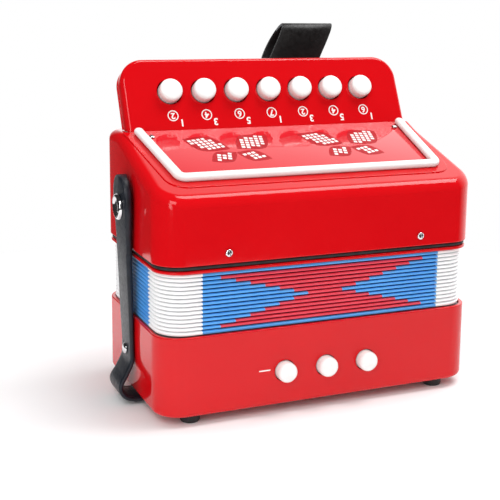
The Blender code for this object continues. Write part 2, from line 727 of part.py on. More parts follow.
def bass_action():
    """Each button pushes the hanging arm of a lever, whose moulded pallet leaves the sound board."""
    pallet_y = BASS_AXLE_Y - BASS_PALLET_REACH
    holes = [circle((bass_x(i), pallet_y), 3.2 * MM, 12) for i in range(3)]
    board_half = HALF_WIDTH - WALL - GAP
    sound_board("bass_sound_board", BASS_BOARD_TOP, board_half, HALF_DEPTH - WALL - GAP, holes,
                ((bass_x(0) - 12 * MM, bass_x(2) + 12 * MM), BASS_AXLE_Y, BASS_AXLE_Z,
                 BASS_AXLE_Z - 4 * MM), CASE)
    reed_plate("bass_reed_plate", (BASS_X, 12 * MM, BASS_BOARD_TOP + GAP + 1.2 * MM),
               34 * MM, 14 * MM, 2.4 * MM, [-18 * MM, 0, 18 * MM], CASE)
    axle("bass_axle", 74 * MM, BASS_AXLE_Y, BASS_AXLE_Z, CASE)

    stem_end = -(HALF_DEPTH + BASS_AXLE_Y) + 1.9 * MM
    cap = [(0, BASS_PROUD), (3.8 * MM, BASS_PROUD), (4.7 * MM, BASS_PROUD - 0.4 * MM),
           (BASS_BUTTON_RADIUS, BASS_PROUD - 1.3 * MM), (BASS_BUTTON_RADIUS, -5 * MM),
           (2 * MM, -6 * MM), (2 * MM, stem_end + 2 * MM), (0.8 * MM, stem_end), (0, stem_end)]
    board_under = BASS_BOARD_TOP - BOARD_THICKNESS
    pad_base = BASS_AXLE_Z
    pad_height = board_under - GAP - pad_base
    pad = [(0, pad_height), (4.8 * MM, pad_height), (4.8 * MM, pad_height - 2 * MM),
           (2 * MM, pad_height - 2.4 * MM), (2 * MM, 0), (0, 0)]
    loops = bell_crank(2.8 * MM, AXLE_RADIUS + GAP,
                       [(180, BASS_PALLET_REACH + 3.5 * MM, 1.8 * MM),
                        (270, 15 * MM, 1.2 * MM)])
    for i, name in enumerate(BASS_NAMES):
        button = turned(f"{name}_button", cap, 16)
        button.location = (bass_x(i), -HALF_DEPTH, BASS_Z)
        button.rotation_euler = (math.pi / 2, 0, 0)
        finish_part(button, WHITE)

        body = new_empty(f"{name}_lever_pivot", (bass_x(i), BASS_AXLE_Y, BASS_AXLE_Z), CASE)
        lever = outline_solid(f"{name}_lever", loops, LEVER_THICKNESS)
        lever.rotation_euler = ALONG_X
        finish_part(lever, STEEL, body, smooth=False)

        pallet = turned(f"join_{name}_pallet", pad, 12)
        pallet.location = (0, -BASS_PALLET_REACH, pad_base - BASS_AXLE_Z)
        hide_cutter(pallet, body)
        boolean(lever, pallet, "UNION")


# ---------------------------------------------------------------- straps

def strap_route():
    """The hand strap from its left end, round its bulge, under the casing and up the right side."""
    beside = HALF_WIDTH + GAP + STRAP_THICKNESS / 2
    left = [(-beside, STRAP_SPLIT_Z), (-beside, 27 * MM), (-beside - 0.4 * MM, 21.5 * MM),
            (-beside - 3.4 * MM, 15.5 * MM), (-STRAP_BULGE + 0.2 * MM, 10 * MM),
            (-STRAP_BULGE + 1.6 * MM, 5.4 * MM), (-beside - 1.0 * MM, 3.2 * MM),
            (-beside + 7 * MM, HAND_STRAP_Z), (-40 * MM, HAND_STRAP_Z)]
    right = [(40 * MM, HAND_STRAP_Z), (HALF_WIDTH - 6 * MM, HAND_STRAP_Z),
             (HALF_WIDTH - 1.0 * MM, 3.0 * MM), (beside - 0.1 * MM, 5.6 * MM),
             (beside, 11 * MM), (beside, STRAP_SPLIT_Z)]
    return smooth_path(left + right, 4)


def hand_strap():
    obj = outline_solid("hand_strap", [offset_path(strap_route(), STRAP_THICKNESS)],
                        HAND_STRAP_WIDTH)
    obj.rotation_euler = ALONG_Y

    def holes(shape):
        for x in (-HALF_WIDTH, HALF_WIDTH):
            place = Matrix.Translation((x, 0, RIVET_Z)) @ Matrix.Rotation(math.pi / 2, 4, "Y")
            cylinder_mesh(shape, 1.5 * MM, 12 * MM, place, segments=12)

    boolean(obj, cutter("cut_strap_rivets", holes))
    finish_part(obj, BLACK_VINYL)

    profile = [(0, 1.2), (1.4, 1.1), (2.6, 0.6), (3.0, 0), (1.2, 0), (1.2, -2.3), (0, -2.3)]
    points = [(r * MM, z * MM) for r, z in profile]
    for hand, side in (("left", -1), ("right", 1)):
        rivet = turned(f"strap_rivet_{hand}", points, 12)
        rivet.location = (side * (HALF_WIDTH + 2 * GAP + STRAP_THICKNESS), 0, RIVET_Z)
        rivet.rotation_euler = (0, side * math.pi / 2, 0)
        finish_part(rivet, CHROME)


def bellows_strap():
    """The strap that keeps the bellows shut: it snaps onto the stud on the treble casing."""
    hinge = Vector((-HALF_WIDTH - GAP - STRAP_THICKNESS, 0, STRAP_SPLIT_Z + GAP))
    body = new_empty("bellows_strap_hinge", hinge, CASE)
    body.rotation_euler = (0, -BELLOWS_STRAP_TILT, 0)
    length = BELLOWS_STRAP_TOP - hinge.z
    head = 11 * MM
    neck = 8.2 * MM
    snap = SNAP_Z - hinge.z
    outline = [(-8.0 * MM, 0), (8.0 * MM, 0), (neck, snap - 24 * MM), (head, snap - 6 * MM),
               *arc((0, length - head), head, 0, 180, 10),
               (-head, snap - 6 * MM), (-neck, snap - 24 * MM)]
    hole = circle((0, snap), 2.2 * MM, 12)
    obj = outline_solid("bellows_strap", [outline, hole], STRAP_THICKNESS)
    obj.location = (STRAP_THICKNESS / 2, 0, 0)
    obj.rotation_euler = ALONG_X
    finish_part(obj, BLACK_VINYL, body)

    cap_profile = [(0, 1.9), (2.6, 1.7), (3.2, 1.0), (4.2, 1.0), (5.0, 1.9), (6.2, 1.5),
                   (6.6, 0.6), (6.5, 0), (1.8, 0), (1.8, -2.5), (0, -2.5)]
    cap = turned("snap_cap", [(r * MM, z * MM) for r, z in cap_profile], 16)
    cap.location = (-GAP, 0, snap)
    cap.rotation_euler = (0, -math.pi / 2, 0)
    finish_part(cap, CHROME, body)

    stud_profile = [(0, 1.9), (1.4, 1.9), (1.8, 1.4), (1.5, 0.9), (4.2, 0.8), (4.5, 0), (0, 0)]
    stud = turned("snap_stud", [(r * MM, z * MM) for r, z in stud_profile], 12)
    stud.location = (-HALF_WIDTH - GAP, 0, SNAP_Z)
    stud.rotation_euler = (0, -math.pi / 2, 0)
    finish_part(stud, STEEL, TREBLE)


def thumb_strap():
    """A loop behind the top of the panel: both ends lie under one clamp on the back cover."""
    back = -PANEL_DEPTH - GAP - COVER_THICKNESS
    inner = THUMB_STRAP_THICKNESS / 2 + GAP

    def behind(up, out):
        point = on_panel(0, up, back - out)
        return (point.y, point.z)

    route = [behind(18 * MM, inner), behind(26 * MM, inner), behind(33 * MM, inner + 0.3 * MM),
             (47.4 * MM, 164.6 * MM), (48.8 * MM, 171 * MM), (50.0 * MM, 178 * MM),
             (51.8 * MM, 184 * MM),
             (54.8 * MM, 186.4 * MM), (58.4 * MM, 183 * MM), (60.4 * MM, 176 * MM),
             (59.4 * MM, 168.5 * MM), (55.2 * MM, 161.5 * MM), (49.0 * MM, 155 * MM),
             behind(22.5 * MM, inner + THUMB_STRAP_THICKNESS + 2.5 * GAP),
             behind(17.5 * MM, inner + THUMB_STRAP_THICKNESS + 2 * GAP)]
    obj = outline_solid("thumb_strap", [offset_path(smooth_path(route, 3),
                                                    THUMB_STRAP_THICKNESS)],
                        THUMB_STRAP_WIDTH)
    for vert in obj.data.vertices:
        vert.co.z += THUMB_STRAP_SKEW * max(0.0, vert.co.y - THUMB_STRAP_BEND_Z)
    obj.location = (THUMB_STRAP_X, 0, 0)
    obj.rotation_euler = ALONG_X
    finish_part(obj, BLACK_VINYL, TREBLE)

    clamp = outline_solid("thumb_strap_clamp",
                          [rounded_rectangle(19 * MM, 3.2 * MM, 1.5 * MM, 3)], 1.4 * MM)
    clamp.location = on_panel(THUMB_STRAP_X, 20.5 * MM,
                              back - 2 * THUMB_STRAP_THICKNESS - 5 * GAP - 0.7 * MM)
    clamp.rotation_euler = PANEL_TURN
    finish_part(clamp, STEEL, TREBLE)


def new_empty(name, location, parent=None):
    empty = bpy.data.objects.new(name, None)
    empty.empty_display_size = 0.01
    empty.location = location
    empty.parent = parent
    PARTS.objects.link(empty)
    return empty


clear_scene()
PARTS = new_collection("button_accordion")
CUTTERS = new_collection("cutters")
CASE = new_empty("bass_end", (CASE_X, CASE_Y, 0))
TREBLE = new_empty("treble_end", (0, 0, 0), CASE)

bass_casing()
feet()
bass_action()
bellows()
ring("treble_frame", RED, BELLOWS_TOP, FRAME_TOP - GAP, 0.5 * MM, 8 * MM)
ring("treble_gasket", BLACK_RUBBER, FRAME_TOP, TREBLE_BOTTOM - GAP, 1.0 * MM, 6 * MM)
treble_casing()
casing_screws()
treble_action()
grille()
keyboard_panel()
hand_strap()
bellows_strap()
thumb_strap()
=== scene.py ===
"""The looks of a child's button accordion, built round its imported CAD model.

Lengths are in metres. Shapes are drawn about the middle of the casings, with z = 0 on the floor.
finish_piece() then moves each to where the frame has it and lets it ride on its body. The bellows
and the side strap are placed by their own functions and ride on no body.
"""

import json
import math

import bmesh
import bpy
from mathutils import Matrix, Vector


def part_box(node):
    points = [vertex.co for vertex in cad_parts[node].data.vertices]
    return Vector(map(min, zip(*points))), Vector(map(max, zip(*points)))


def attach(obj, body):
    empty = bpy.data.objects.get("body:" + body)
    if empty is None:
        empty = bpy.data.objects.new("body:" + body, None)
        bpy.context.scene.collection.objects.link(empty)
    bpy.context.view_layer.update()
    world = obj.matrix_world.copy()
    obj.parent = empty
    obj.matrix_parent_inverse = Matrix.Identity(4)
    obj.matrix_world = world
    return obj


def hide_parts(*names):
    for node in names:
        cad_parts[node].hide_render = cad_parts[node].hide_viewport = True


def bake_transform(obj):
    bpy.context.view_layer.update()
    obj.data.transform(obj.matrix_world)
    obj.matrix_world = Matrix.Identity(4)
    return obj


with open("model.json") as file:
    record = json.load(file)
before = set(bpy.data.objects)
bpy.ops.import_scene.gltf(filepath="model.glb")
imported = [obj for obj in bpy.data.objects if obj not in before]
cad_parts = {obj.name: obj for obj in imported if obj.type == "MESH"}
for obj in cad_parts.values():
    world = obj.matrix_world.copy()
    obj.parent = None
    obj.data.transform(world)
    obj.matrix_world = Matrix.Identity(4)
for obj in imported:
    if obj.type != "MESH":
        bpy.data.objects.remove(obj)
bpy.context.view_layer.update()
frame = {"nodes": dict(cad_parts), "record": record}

MM = 0.001
GAP = 0.3 * MM

# The casings, from the frame
BASS_LOW, BASS_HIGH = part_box("bass_casing")
TREBLE_LOW, TREBLE_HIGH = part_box("treble_casing")
BELLOWS_LOW, BELLOWS_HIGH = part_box("bellows")
MIDDLE = Vector(((BASS_LOW.x + BASS_HIGH.x) / 2, (BASS_LOW.y + BASS_HIGH.y) / 2, 0))
HALF_WIDTH = (BASS_HIGH.x - BASS_LOW.x) / 2
HALF_DEPTH = (BASS_HIGH.y - BASS_LOW.y) / 2
CORNER_RADIUS = 13.7 * MM
CORNER_STEPS = 18
BOTTOM_EDGE_RADIUS = 2.6 * MM
WALL = 2.2 * MM
RIM_ROUNDING = 0.5 * MM
FRONT_BUTTONS = ("air_button", "bass_1_button", "bass_2_button")
BUTTON_CLEARANCE = 0.5 * MM

# The sloping top, from the foot of the keyboard panel down to the front
SHOULDER = Vector((0, 19.6 * MM, TREBLE_HIGH.z))
SLOPE = math.radians(19.0)
TOP_EDGE_RADIUS = 5.0 * MM
WINDOW_BACK_HALF = 73.3 * MM
WINDOW_FRONT_HALF = 67.6 * MM
WINDOW_NEAR = 0.8 * MM
WINDOW_FAR = 51.0 * MM
WINDOW_TAPER = math.atan((WINDOW_BACK_HALF - WINDOW_FRONT_HALF) / WINDOW_FAR)
WINDOW_OUT = 0.8 * MM
WINDOW_THICKNESS = 1.5 * MM
TRIM_WIDTH = 4.8 * MM
TRIM_HEIGHT = 3.5 * MM
TRIM_START = 1.2 * MM
TRIM_OUTER_RADIUS = 6.0 * MM
TRIM_INNER_RADIUS = 1.2 * MM
TRIM_ROUNDING = 1.6 * MM
TRIM_SCREW = (70.2 * MM, 8.0 * MM)
PLATEAU_MARGIN = 4.6 * MM
PLATEAU_STEP = 0.5 * MM
LEVER_SLOT_SIZE = Vector((144, 8.2, 12)) * MM
LEVER_SLOT_PLACE = SHOULDER + Vector((0, 5.3, -2)) * MM

# The prints on the window: each leaf's half length, half width, place across from its sprig's
# middle, distance down the slope and turn in degrees
INK_LIFT = 0.03 * MM
LEAF_CELL = 1.9 * MM
SPRIG_MIDDLES = {"left": -32 * MM, "right": 32.3 * MM}
LEAVES = {"upper": (12.5 * MM, 8.6 * MM, 12.6 * MM, 18 * MM, 32),
          "lower": (9.0 * MM, 6.0 * MM, 8.0 * MM, 33 * MM, -28)}

# The keyboard panel
PANEL_LEAN = math.radians(24.8)
PANEL_LENGTH = 40.1 * MM
PANEL_X = 0.85 * MM
PANEL_HALF_WIDTH = 81.0 * MM
PANEL_RADIUS = 13.0 * MM
PANEL_DEPTH = 8.3 * MM
PANEL_ROUNDING = 2.5 * MM
PANEL_FOOT = -12 * MM
PANEL_SKIN = 2.2 * MM
HOLLOW_FOOT = -14 * MM
HOLLOW_SCALE = (0.965, 0.94, 1, 1)
COVER_THICKNESS = 1.6 * MM
KEYS = 7
KEY_PITCH = 18.6 * MM
KEY_HEIGHT = 21.3 * MM
KEY_HOLE_RADIUS = 6.9 * MM
RING_HEIGHT = 8.2 * MM
MARK_HEIGHT = 4.4 * MM
MARK_ACROSS = 4.5 * MM
RING_RADII = (2.95 * MM, 2.42 * MM)
RINGED_DEGREES = "2467246"
PLAIN_DEGREES = "1351351"
DASH_PLACE = (-32.8 * MM, 23.2 * MM)

# The bellows
PLEATS = 15
PLEAT_DEPTH = 5.0 * MM
WHITE_FROM_X = 64.0 * MM
WHITE_TO_Y = 24.0 * MM
RED_WAIST = 9.3 * MM
RED_STEP = 7.6 * MM
# (share of the pleat's depth, share of its height) from one valley up to the next
PLEAT_PROFILE = ((1.0, 0.0), (0.32, 0.12), (0.14, 0.18), (0.05, 0.27), (0.015, 0.38), (0.0, 0.5),
                 (0.015, 0.62), (0.05, 0.73), (0.14, 0.82), (0.32, 0.88))
FLANGE_DEPTH = 0.05

# The straps
STRAP_THICKNESS = 2.4 * MM
STRAP_PADDING = 2.0 * MM
STRAP_TOP = 115.0 * MM
STRAP_BEND = 33.0 * MM
STRAP_LEAN = math.radians(2.1)
STRAP_SKEW = 2.0 * MM
STRAP_TOP_RADIUS = 11.6 * MM
STRAP_TAIL_RADIUS = 6.0 * MM
# Where it bulges over the fingers: (distance out from its upright run, height) in millimetres
STRAP_BULGE = ((0, 27), (0.4, 21.5), (3.4, 15.5), (6.6, 10), (5.2, 5.4), (1.0, 3.2))
# (distance along the strap, half its width) in millimetres
STRAP_HALF_WIDTHS = ((0, 11.6), (14, 11.2), (34, 9.2), (60, 8.8), (86, 8.0), (96, 8.8),
                     (112, 9.8), (140, 9.4), (1000, 9.0))
THUMB_WIDTH = 31.0 * MM
THUMB_THICKNESS = 1.6 * MM
THUMB_X = 20.5 * MM
THUMB_SKEW = 0.55
THUMB_BEND = 158.0 * MM
# The free part of its loop: (depth, height) in millimetres
THUMB_LOOP = ((47.4, 164.6), (48.8, 171), (50.0, 178), (51.8, 184), (54.8, 186.3), (58.4, 183),
              (60.4, 176), (59.4, 168.5), (55.2, 161.5), (49.0, 155))


# ---------------------------------------------------------------- materials

def new_material(name, color, roughness, metallic=0.0, **inputs):
    """A Principled material. inputs are other sockets, with _ in place of each space."""
    made = bpy.data.materials.new(name)
    made.use_nodes = True
    shader = made.node_tree.nodes["Principled BSDF"]
    values = {"Base_Color": (*color, 1.0), "Roughness": roughness, "Metallic": metallic, **inputs}
    for socket, value in values.items():
        shader.inputs[socket.replace("_", " ")].default_value = value
    return made


def add_node(tree, kind, **settings):
    node = tree.nodes.new(kind)
    for socket, value in settings.items():
        node.inputs[socket].default_value = value
    return node


def noise(made, scale, detail=2.0, stretch=(1, 1, 1)):
    """The value of a noise texture in the piece's own coordinates."""
    tree = made.node_tree
    place = tree.nodes.new("ShaderNodeTexCoord")
    mapping = add_node(tree, "ShaderNodeMapping", Scale=stretch)
    texture = add_node(tree, "ShaderNodeTexNoise", Scale=scale, Detail=detail)
    tree.links.new(place.outputs["Object"], mapping.inputs["Vector"])
    tree.links.new(mapping.outputs["Vector"], texture.inputs["Vector"])
    return texture.outputs["Fac"]


def cells(made, scale):
    """The distance to the nearest cell centre, for a pebbled grain."""
    tree = made.node_tree
    place = tree.nodes.new("ShaderNodeTexCoord")
    texture = add_node(tree, "ShaderNodeTexVoronoi", Scale=scale)
    tree.links.new(place.outputs["Object"], texture.inputs["Vector"])
    return texture.outputs["Distance"]


def vary(made, socket, value, low, high):
    """Drives a shader socket from low to high, as value goes from 0.3 to 0.7."""
    tree = made.node_tree
    shader = tree.nodes["Principled BSDF"]
    if isinstance(low, tuple):
        ramp = tree.nodes.new("ShaderNodeValToRGB")
        for element, position, color in zip(ramp.color_ramp.elements, (0.3, 0.7), (low, high)):
            element.position = position
            element.color = (*color, 1.0)
        tree.links.new(value, ramp.inputs["Fac"])
        tree.links.new(ramp.outputs["Color"], shader.inputs[socket])
        return
    span = tree.nodes.new("ShaderNodeMapRange")
    for name, number in (("From Min", 0.3), ("From Max", 0.7), ("To Min", low), ("To Max", high)):
        span.inputs[name].default_value = number
    tree.links.new(value, span.inputs["Value"])
    tree.links.new(span.outputs["Result"], shader.inputs[socket])


def bump(made, value, depth, strength=1.0):
    """Adds a bump of this depth in metres, on top of any bump that is there."""
    tree = made.node_tree
    shader = tree.nodes["Principled BSDF"]
    node = add_node(tree, "ShaderNodeBump", Strength=strength, Distance=depth)
    before = [link.from_socket for link in shader.inputs["Normal"].links]
    if before:
        tree.links.new(before[0], node.inputs["Normal"])
    tree.links.new(value, node.inputs["Height"])
    tree.links.new(node.outputs["Normal"], shader.inputs["Normal"])


def moulded(name, color, deeper, roughness, **inputs):
    """Injection-moulded plastic: slow colour drift, a faint flow ripple and uneven gloss."""
    made = new_material(name, color, roughness, **inputs)
    vary(made, "Base Color", noise(made, 14), color, deeper)
    vary(made, "Roughness", noise(made, 160, 4), roughness * 0.8, roughness * 1.3)
    bump(made, noise(made, 60), 0.012 * MM)
    bump(made, noise(made, 2600, 1), 0.0012 * MM)
    return made


def grained_vinyl(name, color, roughness, pebble, depth):
    made = new_material(name, color, roughness, Specular_IOR_Level=0.35)
    vary(made, "Base Color", noise(made, 220, 3), color, tuple(1.9 * c for c in color))
    vary(made, "Roughness", noise(made, 500, 3), roughness * 0.8, roughness * 1.25)
    bump(made, cells(made, pebble), depth)
    bump(made, noise(made, 300, 3), depth * 0.8)
    return made


def plated(name, color, roughness):
    made = new_material(name, color, roughness, metallic=1.0)
    vary(made, "Roughness", noise(made, 900, 3), roughness * 0.7, roughness * 1.6)
    bump(made, noise(made, 400, 2), 0.004 * MM)
    return made


def brushed(name, color, roughness):
    made = new_material(name, color, roughness, metallic=1.0)
    grain = noise(made, 700, 3, stretch=(12, 1, 1))
    vary(made, "Roughness", grain, roughness * 0.7, roughness * 1.4)
    vary(made, "Base Color", noise(made, 90, 3), color, tuple(0.82 * c for c in color))
    bump(made, grain, 0.01 * MM)
    return made


def pleated_card(name, color, deeper):
    made = new_material(name, color, 0.36, Coat_Weight=0.4, Coat_Roughness=0.22)
    vary(made, "Base Color", noise(made, 45, 4, stretch=(1, 1, 5)), color, deeper)
    vary(made, "Roughness", noise(made, 260, 3), 0.3, 0.44)
    bump(made, noise(made, 900, 3), 0.02 * MM)
    return made


def felt(name, color):
    made = new_material(name, color, 0.95, Sheen_Weight=0.6)
    vary(made, "Base Color", noise(made, 900, 5), color, tuple(0.55 * c for c in color))
    bump(made, noise(made, 2500, 5), 0.15 * MM)
    return made


RED = moulded("glossy_red_plastic", (0.62, 0.004, 0.007), (0.59, 0.003, 0.006), 0.07,
              Specular_IOR_Level=0.32)
WHITE = moulded("white_plastic", (0.86, 0.86, 0.85), (0.83, 0.83, 0.81), 0.26)
WINDOW = moulded("glossy_window", (0.66, 0.02, 0.03), (0.62, 0.015, 0.024), 0.035,
                 Specular_IOR_Level=0.65)
INK_WHITE = moulded("white_ink", (0.9, 0.9, 0.88), (0.84, 0.84, 0.82), 0.3)
INK_RED = moulded("dark_red_ink", (0.45, 0.003, 0.01), (0.40, 0.002, 0.008), 0.3,
                 Specular_IOR_Level=0.15)
BLACK_VINYL = grained_vinyl("black_vinyl", (0.008, 0.010, 0.015), 0.34, 1300, 0.09 * MM)
THUMB_VINYL = grained_vinyl("black_vinyl_satin", (0.005, 0.004, 0.004), 0.36, 1500, 0.02 * MM)
CUT_EDGE = grained_vinyl("vinyl_cut_edge", (0.10, 0.105, 0.11), 0.5, 2600, 0.03 * MM)
RUBBER = grained_vinyl("black_rubber", (0.016, 0.016, 0.017), 0.6, 2200, 0.02 * MM)
CHROME = plated("chrome", (0.78, 0.78, 0.79), 0.09)
STEEL = brushed("steel", (0.5, 0.5, 0.52), 0.34)
BRASS = brushed("brass", (0.72, 0.5, 0.2), 0.3)
BOARD = moulded("grey_plastic", (0.35, 0.35, 0.36), (0.29, 0.29, 0.30), 0.5)
FELT = felt("valve_felt", (0.5, 0.06, 0.06))
CARD_WHITE = pleated_card("bellows_white", (0.96, 0.96, 0.96), (0.94, 0.94, 0.95))
CARD_BLUE = pleated_card("bellows_blue", (0.09, 0.40, 0.86), (0.07, 0.34, 0.80))
CARD_RED = pleated_card("bellows_red", (0.80, 0.05, 0.09), (0.74, 0.04, 0.075))
# Painted shade: a near-black navy card, laid in the pleats' valleys of the blue and red parts,
# stands in for the shade in the folds.
CARD_PAINTED_SHADE = pleated_card("bellows_valley_painted_shade", (0.012, 0.016, 0.05), (0.009, 0.012, 0.04))
BELLOWS_CARDS = (CARD_WHITE, CARD_BLUE, CARD_RED, CARD_PAINTED_SHADE)
WHITE_SLOT, BLUE_SLOT, RED_SLOT, PAINTED_SHADE_SLOT = range(4)


# ---------------------------------------------------------------- mesh helpers

def node_middle(node):
    """The middle of a CAD node's box, measured from the middle of the casings."""
    low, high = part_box(node)
    return (low + high) / 2 - MIDDLE


def add_object(name, mesh):
    obj = bpy.data.objects.new(name, mesh)
    bpy.context.scene.collection.objects.link(obj)
    return obj


def mesh_object(name, build):
    """A new mesh object from a bmesh that build() fills."""
    mesh = bpy.data.meshes.new(name)
    shape = bmesh.new()
    build(shape)
    bmesh.ops.recalc_face_normals(shape, faces=shape.faces)
    shape.to_mesh(mesh)
    shape.free()
    return add_object(name, mesh)


def applied(obj):
    """The object with its modifiers applied, or its curve made into a mesh."""
    bpy.context.view_layer.update()
    graph = bpy.context.evaluated_depsgraph_get()
    mesh = bpy.data.meshes.new_from_object(obj.evaluated_get(graph))
    made = add_object(obj.name + "_mesh", mesh)
    made.matrix_world = obj.matrix_world
    name = obj.name
    bpy.data.objects.remove(obj)
    made.name = name
    return made


def finish_piece(obj, material, body, *nodes, slot=None, angle=32):
    """Shades the piece, moves it to where the frame is and makes it ride on its body."""
    if material:
        obj.data.materials.clear()
        obj.data.materials.append(material)
    obj.data.shade_smooth()
    obj.data.set_sharp_from_angle(angle=math.radians(angle))
    bpy.context.view_layer.update()
    obj.matrix_world = Matrix.Translation(MIDDLE) @ obj.matrix_world
    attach(obj, body)
    if nodes:
        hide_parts(*nodes)
    return obj


def even_normals(obj):
    """Keeps wide flat faces flat where they meet rounded edges."""
    modifier = obj.modifiers.new("Normals", "WEIGHTED_NORMAL")
    modifier.keep_sharp = True
    modifier.weight = 100


def boolean(obj, other, operation="DIFFERENCE"):
    modifier = obj.modifiers.new(other.name, "BOOLEAN")
    modifier.operation = operation
    modifier.solver = "EXACT"
    modifier.object = other
    made = applied(obj)
    bpy.data.objects.remove(other)
    return made


def arc(center, radius, start, end, steps):
    """Points on an arc, with angles in degrees."""
    angles = [math.radians(start + (end - start) * i / steps) for i in range(steps + 1)]
    return [(center[0] + radius * math.cos(a), center[1] + radius * math.sin(a)) for a in angles]


def circle(center, radius, steps=48):
    return arc(center, radius, 0, 360, steps)[:-1]


def rounded_rectangle(half_x, half_y, radius, steps=12):
    points = []
    for sign_x, sign_y, start in ((1, 1, 0), (-1, 1, 90), (-1, -1, 180), (1, -1, 270)):
        center = (sign_x * (half_x - radius), sign_y * (half_y - radius))
        points += arc(center, radius, start, start + 90, steps)
    return points


def plate(name, loops, thickness, rounding=0.0, segments=5):
    """A flat piece in the XY plane with rounded edges: an outline, then any holes."""
    curve = bpy.data.curves.new(name, "CURVE")
    curve.dimensions = "2D"
    curve.fill_mode = "BOTH"
    curve.extrude = thickness / 2 - rounding
    curve.bevel_depth = rounding
    curve.bevel_resolution = segments
    curve.offset = -rounding
    for points in loops:
        spline = curve.splines.new("POLY")
        spline.points.add(len(points) - 1)
        for point, (x, y) in zip(spline.points, points):
            point.co = (x, y, 0, 1)
        spline.use_cyclic_u = True
    obj = applied(add_object(name, curve))
    shape = bmesh.new()
    shape.from_mesh(obj.data)
    bmesh.ops.remove_doubles(shape, verts=shape.verts, dist=1e-6)
    bmesh.ops.recalc_face_normals(shape, faces=shape.faces)
    shape.to_mesh(obj.data)
    shape.free()
    return obj


def fillet(points, radius, steps=4):
    """The polyline with its inner corners rounded."""
    corners = [Vector(p) for p in points]
    path = [corners[0]]
    for before, corner, after in zip(corners, corners[1:], corners[2:]):
        back, ahead = before - corner, after - corner
        reach = min(radius, 0.45 * back.length, 0.45 * ahead.length)
        start, end = corner + back.normalized() * reach, corner + ahead.normalized() * reach
        for i in range(steps + 1):
            t = i / steps
            path.append(start * (1 - t) ** 2 + corner * 2 * t * (1 - t) + end * t**2)
    return [tuple(p) for p in path + [corners[-1]]]


def lathe(name, profile, steps=48):
    """A piece turned about its own Z from (radius, height) points in millimetres."""
    def build(shape):
        verts = [shape.verts.new((radius * MM, 0, height * MM)) for radius, height in profile]
        edges = [shape.edges.new(pair) for pair in zip(verts, verts[1:])]
        bmesh.ops.spin(shape, geom=verts + edges, axis=(0, 0, 1), cent=(0, 0, 0),
                       steps=steps, angle=math.tau)
        bmesh.ops.remove_doubles(shape, verts=shape.verts, dist=1e-7)

    return mesh_object(name, build)


def box_cutter(name, size, matrix):
    def build(shape):
        made = bmesh.ops.create_cube(shape, size=1.0)["verts"]
        bmesh.ops.scale(shape, vec=size, verts=made)
        bmesh.ops.transform(shape, matrix=matrix, verts=made)

    return mesh_object(name, build)


def cylinder_cutter(name, radius, depth, matrices, segments=48):
    def build(shape):
        for matrix in matrices:
            bmesh.ops.create_cone(shape, cap_ends=True, segments=segments, radius1=radius,
                                  radius2=radius, depth=depth, matrix=matrix)

    return mesh_object(name, build)


def smooth_path(points, steps=8):
    """A Catmull-Rom curve through the points."""
    knots = [Vector(p) for p in points]
    knots = [2 * knots[0] - knots[1]] + knots + [2 * knots[-1] - knots[-2]]
    path = []
    for a, b, c, d in zip(knots, knots[1:], knots[2:], knots[3:]):
        for i in range(steps):
            t = i / steps
            path.append(0.5 * (2 * b + (c - a) * t + (2 * a - 5 * b + 4 * c - d) * t**2
                               + (3 * b - a - 3 * c + d) * t**3))
    return path + [knots[-2]]


def on_slope(x, down, out=0.0):
    """The matrix of a point on the sloping top: local X across, Y up the slope, Z out of it."""
    place = SHOULDER + Vector((x, -down * math.cos(SLOPE) - out * math.sin(SLOPE),
                               -down * math.sin(SLOPE) + out * math.cos(SLOPE)))
    return Matrix.Translation(place) @ Matrix.Rotation(SLOPE, 4, "X")


def on_panel(x, up, out=0.0):
    """The matrix of a point on the keyboard panel: local X across, Y up the face, Z out of it."""
    place = SHOULDER + Vector((x, up * math.sin(PANEL_LEAN) - out * math.cos(PANEL_LEAN),
                               up * math.cos(PANEL_LEAN) + out * math.sin(PANEL_LEAN)))
    return Matrix.Translation(place) @ Matrix.Rotation(math.pi / 2 - PANEL_LEAN, 4, "X")


def facing_front(x, y, z):
    """The matrix of a point on an upright front face: local Z points to the front."""
    return Matrix.Translation((x, y, z)) @ Matrix.Rotation(math.pi / 2, 4, "X")


def window_half(down):
    """Half the window's width at this distance down the slope: it narrows to the front."""
    return WINDOW_BACK_HALF - down * math.tan(WINDOW_TAPER)


def window_outline(grow=0.0):
    """The window from above the slope, with Y up the slope from the shoulder."""
    near, far = WINDOW_NEAR - grow, WINDOW_FAR + grow
    back, front = window_half(near) + grow, window_half(far) + grow
    return [(back, -near), (-back, -near), (-front, -far), (front, -far)]


def window_corner(out, radius, steps):
    """The right front corner of the line that runs this far outside the window."""
    far = WINDOW_FAR + out
    reach = radius * (1 - math.sin(WINDOW_TAPER)) / math.cos(WINDOW_TAPER)
    center = (window_half(far) + out - reach, radius - far)
    return arc(center, radius, 270, 360 - math.degrees(WINDOW_TAPER), steps)


# ---------------------------------------------------------------- casings

def bevel_edges(shape, test, radius, segments):
    shape.normal_update()
    edges = [edge for edge in shape.edges if len(edge.link_faces) == 2 and test(edge)]
    bmesh.ops.bevel(shape, geom=edges, offset=radius, segments=segments, profile=0.5,
                    affect="EDGES", clamp_overlap=True)


def is_upright_corner(edge):
    first, second = (vert.co for vert in edge.verts)
    return (abs(first.x - second.x) < 1e-6 and abs(first.y - second.y) < 1e-6
            and abs(first.y) > 0.8 * HALF_DEPTH)


def is_rim(edge, up):
    """An edge between a wall and the faces that look up (1) or down (-1)."""
    slopes = sorted(face.normal.z * up for face in edge.link_faces)
    return slopes[0] < 0.3 and slopes[1] > 0.7


def casing_block(shape, low, high):
    """A block as wide and as deep as the casings, between two heights."""
    made = bmesh.ops.create_cube(shape, size=1.0)["verts"]
    bmesh.ops.scale(shape, vec=(2 * HALF_WIDTH, 2 * HALF_DEPTH, high - low), verts=made)
    bmesh.ops.translate(shape, vec=(0, 0, low + (high - low) / 2), verts=made)


